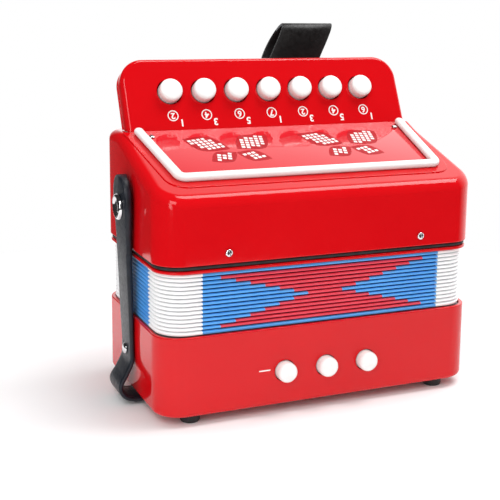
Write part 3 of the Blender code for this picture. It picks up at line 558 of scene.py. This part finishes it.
def open_side(shape, up):
    """Removes the face that looks up (1) or down (-1)."""
    shape.normal_update()
    faces = [face for face in shape.faces if face.normal.z * up > 0.9]
    bmesh.ops.delete(shape, geom=faces, context="FACES_ONLY")


def hollowed(obj):
    """The open shell as a moulding of one wall thickness, with a softened rim."""
    wall = obj.modifiers.new("Wall", "SOLIDIFY")
    wall.thickness = WALL
    wall.offset = -1
    wall.use_even_offset = True
    soften = obj.modifiers.new("Rim", "BEVEL")
    soften.width = RIM_ROUNDING
    soften.segments = 3
    soften.limit_method = "ANGLE"
    soften.angle_limit = math.radians(60)
    return applied(obj)


def bass_shell():
    def build(shape):
        casing_block(shape, BASS_LOW.z, BASS_HIGH.z)
        bevel_edges(shape, is_upright_corner, CORNER_RADIUS, CORNER_STEPS)
        bevel_edges(shape, lambda edge: is_rim(edge, -1), BOTTOM_EDGE_RADIUS, 8)
        open_side(shape, 1)

    shell = hollowed(mesh_object("bass_shell", build))
    places = [facing_front(node_middle(name).x, -HALF_DEPTH, node_middle(name).z)
              for name in FRONT_BUTTONS]
    low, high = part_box("air_button")
    hole = (high.x - low.x) / 2 + BUTTON_CLEARANCE
    shell = boolean(shell, cylinder_cutter("button_holes", hole, 4 * WALL, places))
    even_normals(finish_piece(shell, RED, "bass", "bass_casing", slot="red_plastic"))


def treble_shell():
    rise = math.tan(SLOPE)

    def build(shape):
        casing_block(shape, TREBLE_LOW.z, TREBLE_HIGH.z)
        bmesh.ops.bisect_plane(shape, geom=shape.verts[:] + shape.edges[:] + shape.faces[:],
                               plane_co=SHOULDER, plane_no=(0, 1, 0))
        for vert in shape.verts:
            if vert.co.z > TREBLE_HIGH.z - MM and vert.co.y < 0:
                vert.co.z -= (SHOULDER.y - vert.co.y) * rise
        bevel_edges(shape, is_upright_corner, CORNER_RADIUS, CORNER_STEPS)
        bevel_edges(shape, lambda edge: is_rim(edge, 1), TOP_EDGE_RADIUS, 10)
        open_side(shape, -1)

    shell = boolean(hollowed(mesh_object("treble_shell", build)), plateau(), "UNION")
    recess = plate("recess", [window_outline(GAP)], 2 * MM)
    recess.matrix_world = on_slope(0, 0)
    shell = boolean(shell, recess)
    slot = box_cutter("lever_slot", LEVER_SLOT_SIZE, Matrix.Translation(LEVER_SLOT_PLACE))
    shell = boolean(shell, slot)
    even_normals(finish_piece(shell, RED, "treble", "treble_casing", slot="red_plastic"))


def plateau():
    """The slightly raised bed of the window and its trim, on the sloping top."""
    out = GAP + TRIM_WIDTH + PLATEAU_MARGIN
    right = window_corner(out, TRIM_OUTER_RADIUS + PLATEAU_MARGIN, 16)
    right.append((window_half(0) + out, -0.2 * MM))
    outline = right + [(-x, y) for x, y in right[::-1]]
    bed = plate("plateau", [outline], 2 * PLATEAU_STEP, 0.9 * PLATEAU_STEP, 4)
    bed.matrix_world = on_slope(0, 0)
    return bed


def ring_piece(name, node, material, slot, width, rounding):
    """A flat ring between the bellows and the treble casing, as tall as its CAD node."""
    low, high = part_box(node)
    half_x, half_y = (high.x - low.x) / 2, (high.y - low.y) / 2
    radius = CORNER_RADIUS - (HALF_WIDTH - half_x)
    inner = rounded_rectangle(half_x - width, half_y - width, radius - width / 2)
    ring = plate(name, [rounded_rectangle(half_x, half_y, radius, CORNER_STEPS), inner],
                 high.z - low.z, rounding, 4)
    ring.location.z = (low.z + high.z) / 2
    finish_piece(ring, material, "treble", node, slot=slot)


def rubber_feet():
    profile = fillet([(0, 4.3), (4.9, 4.3), (4.9, 1.1), (4.3, 0), (3.0, 0), (2.6, 0.7), (0, 0.7)],
                     0.5)
    for hand in ("front_left", "front_right", "back_left", "back_right"):
        foot = lathe(f"rubber_foot_{hand}", profile)
        foot.location = node_middle(f"foot_{hand}")
        foot.location.z = 0
        finish_piece(foot, RUBBER, "bass", f"foot_{hand}", slot="black_rubber")


# ---------------------------------------------------------------- screws and rivets

def cross_recess(head, half_width, half_length, depth, top):
    """Cuts a cross into the top of a turned head, about its own Z."""
    for turn in (0, math.pi / 2):
        size = (2 * half_length, 2 * half_width, 2 * depth)
        bar = box_cutter("cross", size, Matrix.Translation((0, 0, top))
                         @ Matrix.Rotation(turn, 4, "Z"))
        head = boolean(head, bar)
    return head


def screw(name, node, matrix, radius, height):
    """A cross-head screw of the treble end, with its head's sizes in millimetres."""
    profile = fillet([(0, height), (radius * 0.55, height * 0.93), (radius * 0.9, height * 0.5),
                      (radius, 0), (radius * 0.6, 0), (radius * 0.6, -3.0), (0, -3.0)],
                     radius * 0.25)
    head = cross_recess(lathe(name, profile), 0.16 * radius * MM, 0.62 * radius * MM,
                        0.55 * height * MM, height * MM)
    head.matrix_world = matrix
    finish_piece(head, CHROME, "treble", node, slot="chrome")


def screws():
    for hand, side in (("front", -1), ("back", 1)):
        for end in ("left", "right"):
            node = f"casing_screw_{hand}_{end}"
            middle = node_middle(node)
            turn = Matrix.Rotation(-side * math.pi / 2, 4, "X") @ Matrix.Rotation(0.5, 4, "Z")
            place = Matrix.Translation((middle.x, side * (HALF_DEPTH + GAP), middle.z))
            screw(f"cross_head_{hand}_{end}", node, place @ turn, 1.95, 1.1)
    across, down = TRIM_SCREW
    for end, x in (("left", -across), ("right", across)):
        place = on_slope(x, down, WINDOW_OUT + GAP) @ Matrix.Rotation(0.4, 4, "Z")
        screw(f"cross_head_window_{end}", f"window_screw_{end}", place, 1.7, 0.9)


def strap_hardware():
    """The snap cap at the strap's top, and the rivets at the hand strap's ends."""
    cap = lathe("snap_cap_ring", fillet(
        [(0, 0.9), (2.2, 1.1), (3.4, 0.8), (4.3, 1.2), (5.2, 2.0), (6.2, 1.6), (6.6, 0.5),
         (6.5, 0), (1.8, 0), (1.8, -2.4), (0, -2.4)], 0.6, 5), 64)
    outward = Matrix.Rotation(-math.pi / 2, 4, "Y")
    z = node_middle("snap_cap").z
    cap.matrix_world = (Matrix.Translation((strap_outer_x(z) - 0.05 * MM, 0, z))
                        @ Matrix.Rotation(-STRAP_LEAN, 4, "Y") @ outward)
    finish_piece(cap, CHROME, "bellows_strap", "snap_cap", slot="chrome")
    profile = fillet([(0, 1.2), (1.5, 1.1), (2.6, 0.6), (3.0, 0), (1.2, 0), (1.2, -2.3),
                      (0, -2.3)], 0.5, 4)
    for hand, side in (("left", -1), ("right", 1)):
        rivet = lathe(f"rivet_head_{hand}", profile)
        place = (side * (HALF_WIDTH + 2 * GAP + STRAP_THICKNESS), 0,
                 node_middle(f"strap_rivet_{hand}").z)
        rivet.matrix_world = (Matrix.Translation(place)
                              @ Matrix.Rotation(side * math.pi / 2, 4, "Y"))
        finish_piece(rivet, CHROME, "bass", f"strap_rivet_{hand}", slot="chrome")


# ---------------------------------------------------------------- window and trim

def window_plate():
    glass = plate("window_plate", [window_outline()], WINDOW_THICKNESS, 0.25 * MM, 3)
    glass.matrix_world = on_slope(0, 0, WINDOW_OUT - WINDOW_THICKNESS / 2)
    finish_piece(glass, WINDOW, "treble", "grille_window", slot="clear_plastic")


def trim_bar():
    tip = TRIM_WIDTH / 2
    tip_center = (window_half(TRIM_START + tip) + GAP + tip, -TRIM_START - tip)
    right = window_corner(GAP + TRIM_WIDTH, TRIM_OUTER_RADIUS, 16)
    right += arc(tip_center, tip, 0, 180, 20)
    right += window_corner(GAP, TRIM_INNER_RADIUS, 8)[::-1]
    bar = plate("white_trim", [right + [(-x, y) for x, y in right[::-1]]], TRIM_HEIGHT,
                TRIM_ROUNDING, 8)
    bar.matrix_world = on_slope(0, 0, GAP + TRIM_HEIGHT / 2)
    finish_piece(bar, WHITE, "treble", "grille_trim", slot="white_plastic")


def checkered_leaf(name, x, down, half_length, half_width, turn):
    """A leaf printed on the window: dark red, with white diamonds on alternate cells inside it."""
    cell = LEAF_CELL
    half = 0.7 * cell
    steps = int(half_length / cell) + 1

    def half_at(u):
        return half_width * max(0.0, 1 - (abs(u) / half_length) ** 1.6)

    def build(shape):
        across = [half_length * i / 24 for i in range(-24, 25)]
        outline = [(u, half_at(u)) for u in across] + [(u, -half_at(u)) for u in across[-2:0:-1]]
        shape.faces.new([shape.verts.new((u, v, 0)) for u, v in outline]).material_index = 1
        for i in range(-steps, steps):
            for j in range(-steps, steps):
                u, v = (i + 0.5) * cell, (j + 0.5) * cell
                edge = min(half_at(u - cell / 2), half_at(u + cell / 2))
                if (i + j) % 2 or abs(v) + 0.9 * cell > edge:
                    continue
                corners = [(u - half, v), (u, v - half), (u + half, v), (u, v + half)]
                shape.faces.new([shape.verts.new((a, b, INK_LIFT)) for a, b in corners])

    leaf = mesh_object(name, build)
    leaf.data.materials.append(INK_WHITE)
    leaf.data.materials.append(INK_RED)
    leaf.matrix_world = (on_slope(x, down, WINDOW_OUT + 2 * INK_LIFT)
                         @ Matrix.Rotation(math.radians(turn), 4, "Z"))
    finish_piece(leaf, None, "treble")


def window_ornaments():
    """Two printed sprigs of four leaves, to the left and the right of the middle."""
    for side, middle in SPRIG_MIDDLES.items():
        for hand, sign in (("a", -1), ("b", 1)):
            for level, (half_length, half_width, across, down, turn) in LEAVES.items():
                checkered_leaf(f"leaf_{level}_{side}_{hand}", middle + sign * across, down,
                               half_length, half_width, sign * turn)


# ---------------------------------------------------------------- keyboard panel and keys

def key_x(i):
    return PANEL_X + (i - (KEYS - 1) / 2) * KEY_PITCH


def panel_outline(foot):
    half, top, radius = PANEL_HALF_WIDTH, PANEL_LENGTH, PANEL_RADIUS
    return [(-half, foot), (half, foot),
            *arc((half - radius, top - radius), radius, 0, 90, 20),
            *arc((radius - half, top - radius), radius, 90, 180, 20)]


def cut_foot_level(obj):
    """Cuts off what lies below the casing's top, with the usual gap."""
    below = box_cutter("below", (200 * MM, 80 * MM, 40 * MM),
                       Matrix.Translation(SHOULDER + Vector((0, 0, GAP - 20 * MM))))
    return boolean(obj, below)


def panel():
    """The hollow face with its key holes, and the flat cover that closes its back."""
    face = plate("key_panel", [panel_outline(PANEL_FOOT)], PANEL_DEPTH, PANEL_ROUNDING, 8)
    face.matrix_world = on_panel(PANEL_X, 0, -PANEL_DEPTH / 2)
    places = [on_panel(key_x(i), KEY_HEIGHT) for i in range(KEYS)]
    face = boolean(face, cylinder_cutter("key_holes", KEY_HOLE_RADIUS, 13 * MM, places))
    hollow = plate("panel_hollow", [panel_outline(HOLLOW_FOOT)], PANEL_DEPTH)
    hollow.data.transform(Matrix.Diagonal(HOLLOW_SCALE))
    hollow.matrix_world = on_panel(PANEL_X, 0, -PANEL_DEPTH / 2 - PANEL_SKIN)
    face = cut_foot_level(boolean(face, hollow))
    even_normals(finish_piece(face, RED, "treble", "keyboard_panel", slot="red_plastic"))

    cover = plate("back_cover", [panel_outline(PANEL_FOOT)], COVER_THICKNESS, 0.5 * MM, 4)
    cover.matrix_world = on_panel(PANEL_X, 0, -PANEL_DEPTH - GAP - COVER_THICKNESS / 2)
    cover = cut_foot_level(cover)
    even_normals(finish_piece(cover, RED, "treble", "panel_back_cover", slot="red_plastic"))


def keys():
    profile = fillet([(0, 4.8), (2.6, 4.76), (4.9, 4.6), (5.8, 4.1), (6.1, 3.2), (6.1, -2.6),
                      (0, -2.6)], 0.8, 5)
    for i in range(KEYS):
        cap = lathe(f"key_cap_{i + 1}", profile, 64)
        cap.matrix_world = on_panel(key_x(i), KEY_HEIGHT)
        finish_piece(cap, WHITE, f"key_{i + 1}", f"key_{i + 1}_button", slot="white_plastic")


def bass_buttons():
    profile = fillet([(0, 5.5), (2.4, 5.4), (4.0, 4.95), (4.85, 3.9), (5.0, 2.8), (5.0, -5.0),
                      (0, -5.0)], 0.7, 5)
    for name in FRONT_BUTTONS:
        middle = node_middle(name)
        cap = lathe(name.replace("button", "cap"), profile, 64)
        cap.matrix_world = facing_front(middle.x, -HALF_DEPTH, middle.z)
        finish_piece(cap, WHITE, name, name, slot="white_plastic")


def numeral(name, text, size, matrix):
    """A printed numeral, upside down as on the real panel."""
    curve = bpy.data.curves.new(name, "FONT")
    curve.body = text
    curve.size = size
    curve.align_x = "CENTER"
    curve.align_y = "CENTER"
    curve.offset = 0.03 * size
    curve.extrude = 0.02 * MM
    obj = applied(add_object(name, curve))
    obj.matrix_world = matrix @ Matrix.Rotation(math.pi, 4, "Z")
    finish_piece(obj, INK_WHITE, "treble")


def panel_print():
    """A ring with a scale degree under each key, and the key's other degree beside it."""
    for i, (ringed, plain) in enumerate(zip(RINGED_DEGREES, PLAIN_DEGREES)):
        outlines = [circle((0, 0), radius) for radius in RING_RADII]
        ring = plate(f"printed_ring_{i + 1}", outlines, 0.04 * MM)
        place = on_panel(key_x(i), RING_HEIGHT, INK_LIFT)
        ring.matrix_world = place
        finish_piece(ring, INK_WHITE, "treble")
        numeral(f"printed_degree_{i + 1}", ringed, 4.6 * MM, place)
        numeral(f"printed_mark_{i + 1}", plain, 5.2 * MM,
                on_panel(key_x(i) + MARK_ACROSS, MARK_HEIGHT, INK_LIFT))


def bass_print():
    """The dash beside the air button."""
    x, z = DASH_PLACE
    dash = plate("printed_dash", [rounded_rectangle(3.0 * MM, 0.3 * MM, 0.25 * MM, 4)], 0.04 * MM)
    dash.matrix_world = facing_front(x, -HALF_DEPTH - 0.02 * MM, z)
    finish_piece(dash, INK_WHITE, "bass")


# ---------------------------------------------------------------- bellows

def bellows_columns(half_x, half_y):
    """Points round the bellows with their outward directions, with one at each colour's edge."""
    waists = [RED_WAIST + RED_STEP * k for k in range(PLEATS // 2)]
    across = sorted([-WHITE_FROM_X, WHITE_FROM_X, *waists, *[-w for w in waists]])
    along = (-WHITE_TO_Y, -12 * MM, 0.0, 12 * MM, WHITE_TO_Y)
    corner_x, corner_y = half_x - CORNER_RADIUS, half_y - CORNER_RADIUS

    def corner(sign_x, sign_y, start):
        center = (sign_x * corner_x, sign_y * corner_y)
        outward = arc((0, 0), 1.0, start, start + 90, 14)
        return [(center[0] + CORNER_RADIUS * a, center[1] + CORNER_RADIUS * b, a, b)
                for a, b in outward]

    columns = [(x, -half_y, 0, -1) for x in across] + corner(1, -1, 270)
    columns += [(half_x, y, 1, 0) for y in along] + corner(1, 1, 0)
    columns += [(-x, half_y, 0, 1) for x in across] + corner(-1, 1, 90)
    columns += [(-half_x, -y, -1, 0) for y in along] + corner(-1, -1, 180)
    return columns


def bellows_color(row, x, y, half_x):
    """The colour at a place on a row. The rows count from 0 at the bottom."""
    if abs(x) > half_x - MM:
        return BLUE_SLOT if abs(y) < WHITE_TO_Y else WHITE_SLOT
    if abs(x) > WHITE_FROM_X:
        return WHITE_SLOT
    from_middle = abs(row - PLEATS // 2)
    red = from_middle < PLEATS // 2 and abs(x) < RED_WAIST + RED_STEP * from_middle
    return RED_SLOT if red else BLUE_SLOT


def pleat_depth(row, depth, share):
    """The profile's depth, but shallow where the first and the last pleat meet their frames."""
    at_frame = (row == 0 and 0 < share < 0.5) or (row == PLEATS - 1 and share > 0.5)
    return min(depth, FLANGE_DEPTH) if at_frame else depth


def bellows_folds():
    """The pleats as one skin between the two ends, with painted shade: a near-black navy card in
    the valleys of the blue and red parts.
    """
    half_x = (BELLOWS_HIGH.x - BELLOWS_LOW.x) / 2
    half_y = (BELLOWS_HIGH.y - BELLOWS_LOW.y) / 2
    columns = bellows_columns(half_x, half_y)
    pitch = (BELLOWS_HIGH.z - BELLOWS_LOW.z) / PLEATS
    levels = [(row, pleat_depth(row, depth, share), BELLOWS_LOW.z + (row + share) * pitch)
              for row in range(PLEATS) for depth, share in PLEAT_PROFILE]
    levels.append((PLEATS - 1, PLEAT_PROFILE[0][0], BELLOWS_HIGH.z))

    def build(shape):
        rings = []
        for row, depth, z in levels:
            inset = depth * PLEAT_DEPTH
            rings.append([shape.verts.new((x - a * inset, y - b * inset, z))
                          for x, y, a, b in columns])
        count = len(columns)
        for k, (lower, upper) in enumerate(zip(rings, rings[1:])):
            row = levels[k][0]
            # Painted shade: in the valleys outside the white parts, the faces take the dark valley
            # card in place of their colour.
            painted_shade_valley = 0 < k < len(rings) - 2 and 1.0 in (levels[k][1], levels[k + 1][1])
            for i in range(count):
                j = (i + 1) % count
                face = shape.faces.new((lower[i], lower[j], upper[j], upper[i]))
                x = (columns[i][0] + columns[j][0]) / 2
                y = (columns[i][1] + columns[j][1]) / 2
                color = bellows_color(row, x, y, half_x)
                face.material_index = (PAINTED_SHADE_SLOT if painted_shade_valley and color != WHITE_SLOT
                                       else color)

    folds = mesh_object("bellows_folds", build)
    for material in BELLOWS_CARDS:
        folds.data.materials.append(material)
    folds.data.shade_smooth()
    folds.data.set_sharp_from_angle(angle=math.radians(60))
    folds.location = MIDDLE
    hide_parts("bellows")
    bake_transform(folds)


# ---------------------------------------------------------------- straps

def ribbon(name, stations, side, section):
    """A band swept through stations of (centre, half width, thickness), with its width along side.

    section gives (across, out) points round the band, both from -1 to 1.
    """
    def build(shape):
        rings = []
        for i, (center, half, thickness) in enumerate(stations):
            before = stations[max(i - 1, 0)][0]
            after = stations[min(i + 1, len(stations) - 1)][0]
            along = (after - before).normalized()
            out = along.cross(side).normalized()
            rings.append([shape.verts.new(center + side * across * half
                                          + out * height * thickness / 2)
                          for across, height in section])
        count = len(section)
        for first, second in zip(rings, rings[1:]):
            for i in range(count):
                j = (i + 1) % count
                shape.faces.new((first[i], first[j], second[j], second[i]))
        shape.faces.new(rings[0])
        shape.faces.new(rings[-1][::-1])

    return mesh_object(name, build)


def padded_section():
    """A band's section: a pressed groove inside each edge of its outer face, and round edges."""
    outer = [(-1.0, 0.15), (-0.985, 0.45), (-0.94, 0.72), (-0.86, 0.78), (-0.79, 0.66),
             (-0.75, 0.66), (-0.68, 0.84), (-0.5, 0.95), (0.0, 1.0)]
    inner = [(-0.985, -0.45), (-0.94, -0.85), (-0.8, -0.97), (0.0, -0.97)]
    upper = outer + [(-u, v) for u, v in outer[-2::-1]]
    lower = [(-u, v) for u, v in inner] + inner[-2::-1]
    return upper + lower


def strap_outer_x(z):
    """Where the bellows strap's outer face is, at this height."""
    bend_x = -(HALF_WIDTH + GAP + STRAP_THICKNESS)
    return bend_x - (z - STRAP_BEND) * math.tan(STRAP_LEAN)


def strap_route():
    """The side strap's centre line in X and Z, from its round top, down the left side, round the
    bulge, under the bass end and up the right side."""
    beside = HALF_WIDTH + GAP + STRAP_THICKNESS / 2
    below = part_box("hand_strap")[0].z + STRAP_THICKNESS / 2
    top_x = strap_outer_x(STRAP_TOP) + STRAP_THICKNESS / 2
    upper = [(top_x + (-beside - top_x) * k / 8, STRAP_TOP + (STRAP_BEND - STRAP_TOP) * k / 8)
             for k in range(8)]
    bulge = [(-beside - out * MM, z * MM) for out, z in STRAP_BULGE]
    lower = [(-beside, STRAP_BEND), *bulge, (-beside + 7 * MM, below), (-40 * MM, below),
             (40 * MM, below), (HALF_WIDTH - 6 * MM, below), (HALF_WIDTH - 1.0 * MM, 3.0 * MM),
             (beside - 0.1 * MM, 5.6 * MM), (beside, 11 * MM), (beside, STRAP_BEND)]
    return smooth_path(upper + lower, 10)


def strap_half_width(travel, length):
    """Half the strap's width at this distance along it, with round ends."""
    for (near, first), (far, second) in zip(STRAP_HALF_WIDTHS, STRAP_HALF_WIDTHS[1:]):
        if travel <= far * MM:
            share = (travel / MM - near) / (far - near)
            share = share * share * (3 - 2 * share)
            half = (first + (second - first) * share) * MM
            break
    for left, radius in ((travel, STRAP_TOP_RADIUS), (length - travel, STRAP_TAIL_RADIUS)):
        if left < radius:
            half = min(half, half - radius + math.sqrt(radius**2 - (radius - left) ** 2))
    return max(half, 0.6 * MM)


def side_strap():
    """The bellows strap and the hand strap as one band."""
    route = strap_route()
    dense = [route[0] + (route[1] - route[0]) * (k / 12) ** 1.6 for k in range(12)]
    route = dense + route[1:]
    travelled = [0.0]
    for first, second in zip(route, route[1:]):
        travelled.append(travelled[-1] + (second - first).length)
    stations = []
    for (x, z), travel in zip(route, travelled):
        rise = (z - STRAP_BEND) / (STRAP_TOP - STRAP_BEND)
        drop = max(0.0, min(1.0, (STRAP_BEND - z) / STRAP_BEND)) if x < 0 else 0.0
        skew = -STRAP_SKEW * drop * (1 if x < -70 * MM else max(0.0, -x / (70 * MM)))
        padding = STRAP_PADDING * max(0.0, rise) if x < 0 else 0.0
        stations.append((Vector((x + padding / 2, skew, z)),
                         strap_half_width(travel, travelled[-1]), STRAP_THICKNESS + padding))
    strap = ribbon("side_strap", stations, Vector((0, 1, 0)), padded_section())
    strap.data.materials.append(BLACK_VINYL)
    strap.data.shade_smooth()
    strap.data.set_sharp_from_angle(angle=math.radians(50))
    strap.location = MIDDLE
    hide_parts("hand_strap", "bellows_strap")
    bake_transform(strap)


def thumb_strap():
    """The loop behind the panel: both ends lie flat on its back cover, one over the other."""
    back = -PANEL_DEPTH - GAP - COVER_THICKNESS
    inner = THUMB_THICKNESS / 2 + GAP

    def behind(up, out):
        place = on_panel(0, up, back - out).translation
        return (place.y, place.z)

    route = [behind(18 * MM, inner), behind(26 * MM, inner), behind(33 * MM, inner + 0.3 * MM),
             *[(y * MM, z * MM) for y, z in THUMB_LOOP],
             behind(22.5 * MM, inner + THUMB_THICKNESS + 2.5 * GAP),
             behind(17.5 * MM, inner + THUMB_THICKNESS + 2 * GAP)]
    stations = []
    for y, z in smooth_path(route, 10):
        x = THUMB_X + THUMB_SKEW * max(0.0, z - THUMB_BEND)
        stations.append((Vector((x, y, z)), THUMB_WIDTH / 2, THUMB_THICKNESS))
    section = [(-1.0, -0.8), (-1.0, 0.8), (-0.985, 1.0), (-0.5, 1.0), (0, 1.0), (0.5, 1.0),
               (0.985, 1.0), (1.0, 0.8), (1.0, -0.8), (0.985, -1.0), (0, -1.0), (-0.985, -1.0)]
    band = ribbon("thumb_loop", stations, Vector((1, 0, 0)), section)
    finish_piece(band, THUMB_VINYL, "treble", "thumb_strap", slot="black_vinyl", angle=50)
    band.data.materials.append(CUT_EDGE)
    for face in band.data.polygons:
        if abs(face.normal.x) > 0.9:
            face.material_index = 1


# ---------------------------------------------------------------- kept CAD nodes

def dress_kept_nodes():
    """The inner and small pieces keep their CAD shape and get their real finish."""
    looks = {"steel": STEEL, "brass": BRASS, "grey_plastic": BOARD, "felt": FELT,
             "chrome": CHROME, "red_plastic": RED, "black_vinyl": BLACK_VINYL,
             "black_rubber": RUBBER, "white_plastic": WHITE}
    for part in frame["record"]["subparts"]:
        node = frame["nodes"][part["node"]]
        if not node.hide_render:
            node.data.materials.clear()
            node.data.materials.append(looks[part["material_slot"]])


# ---------------------------------------------------------------- studio

CAMERA_PLACE = Vector((-223.8, -476.1, 194.5)) * MM
CAMERA_AZIMUTH = math.radians(22.44)
CAMERA_ELEVATION = math.radians(10.24)
CAMERA_ROLL = math.radians(0.42)
CAMERA_LENS = 73.5
CAMERA_SHIFT = (0.0215, -0.1122)
FLOOR_RADIUS = 0.34
PAPER, PAPER_SHADE = (0.93, 0.93, 0.93), (0.92, 0.92, 0.92)
LIGHTS_AIM = (0, 0, 0.1)
# Each softbox's name, place, width, height and radiance
SOFTBOXES = (("overhead", (0.5, -0.1, 1.3), 0.55, 0.95, 7.5),
             ("key", (-0.55, -0.79, 0.93), 0.42, 0.42, 5.8),
             ("left_card", (-0.42, -0.4, 0.2), 0.1, 0.38, 5.0))
WORLD_LIGHT = 0.7
# In reflections the world is dark, and brightens toward the back right
BRIGHT_TOWARD = (0.8, 0.6, 0.0)
MIRRORED_TONES = {"From Min": 0.35, "From Max": 0.8, "To Min": 0.03, "To Max": 1.7}


def add_camera():
    data = bpy.data.cameras.new("camera")
    data.lens = CAMERA_LENS
    data.sensor_width = 36.0
    data.shift_x, data.shift_y = CAMERA_SHIFT
    data.clip_start = 0.01
    camera = add_object("camera", data)
    azimuth, elevation = CAMERA_AZIMUTH, CAMERA_ELEVATION
    ahead = Vector((math.sin(azimuth) * math.cos(elevation),
                    math.cos(azimuth) * math.cos(elevation), -math.sin(elevation)))
    level = Vector((math.cos(azimuth), -math.sin(azimuth), 0))
    upright = level.cross(ahead)
    right = level * math.cos(CAMERA_ROLL) + upright * math.sin(CAMERA_ROLL)
    up = right.cross(ahead)
    camera.matrix_world = (Matrix.Translation(CAMERA_PLACE + MIDDLE)
                           @ Matrix((right, up, -ahead)).transposed().to_4x4())
    bpy.context.scene.camera = camera


def add_softbox(name, place, size_x, size_y, radiance):
    """An area light of this radiance, turned to face the object."""
    data = bpy.data.lights.new(name, "AREA")
    data.shape = "RECTANGLE"
    data.size = size_x
    data.size_y = size_y
    data.energy = radiance * math.pi * size_x * size_y
    light = add_object(name, data)
    light.location = place
    light.rotation_euler = (Vector(LIGHTS_AIM) - Vector(place)).to_track_quat("-Z", "Y").to_euler()


def add_studio():
    def build(shape):
        bmesh.ops.create_circle(shape, cap_ends=True, segments=96, radius=FLOOR_RADIUS)

    floor = mesh_object("floor", build)
    paper = new_material("floor_paper", PAPER, 0.9)
    vary(paper, "Base Color", noise(paper, 30), PAPER, PAPER_SHADE)
    floor.data.materials.append(paper)

    for softbox in SOFTBOXES:
        add_softbox(*softbox)
    add_world()
    bpy.context.scene.view_settings.view_transform = "Standard"


def add_world():
    """White to the camera, even soft light on surfaces, and a studio's tones in reflections."""
    world = bpy.data.worlds.new("studio")
    bpy.context.scene.world = world
    world.use_nodes = True
    tree = world.node_tree
    tree.nodes.clear()
    output = tree.nodes.new("ShaderNodeOutputWorld")
    seen = add_node(tree, "ShaderNodeBackground", Color=(1, 1, 1, 1), Strength=1.0)
    lit = add_node(tree, "ShaderNodeBackground", Color=(1, 1, 1, 1), Strength=WORLD_LIGHT)
    mirrored = add_node(tree, "ShaderNodeBackground", Color=(1, 1, 1, 1))
    path = tree.nodes.new("ShaderNodeLightPath")
    place = tree.nodes.new("ShaderNodeTexCoord")
    toward = tree.nodes.new("ShaderNodeVectorMath")
    toward.operation = "DOT_PRODUCT"
    toward.inputs[1].default_value = BRIGHT_TOWARD
    tones = tree.nodes.new("ShaderNodeMapRange")
    for name, number in MIRRORED_TONES.items():
        tones.inputs[name].default_value = number
    by_gloss = tree.nodes.new("ShaderNodeMixShader")
    by_camera = tree.nodes.new("ShaderNodeMixShader")
    for start, end in ((place.outputs["Generated"], toward.inputs[0]),
                       (toward.outputs["Value"], tones.inputs["Value"]),
                       (tones.outputs["Result"], mirrored.inputs["Strength"]),
                       (path.outputs["Is Glossy Ray"], by_gloss.inputs[0]),
                       (lit.outputs[0], by_gloss.inputs[1]),
                       (mirrored.outputs[0], by_gloss.inputs[2]),
                       (path.outputs["Is Camera Ray"], by_camera.inputs[0]),
                       (by_gloss.outputs[0], by_camera.inputs[1]),
                       (seen.outputs[0], by_camera.inputs[2]),
                       (by_camera.outputs[0], output.inputs["Surface"])):
        tree.links.new(start, end)


# ---------------------------------------------------------------- the whole object

add_camera()
add_studio()

bass_shell()
treble_shell()
ring_piece("red_lip", "treble_frame", RED, "red_plastic", 7 * MM, 0.5 * MM)
ring_piece("black_gasket", "treble_gasket", RUBBER, "black_rubber", 5 * MM, 0.6 * MM)
rubber_feet()
screws()
strap_hardware()
window_plate()
trim_bar()
window_ornaments()
panel()
keys()
bass_buttons()
panel_print()
bass_print()
bellows_folds()
side_strap()
thumb_strap()
dress_kept_nodes()
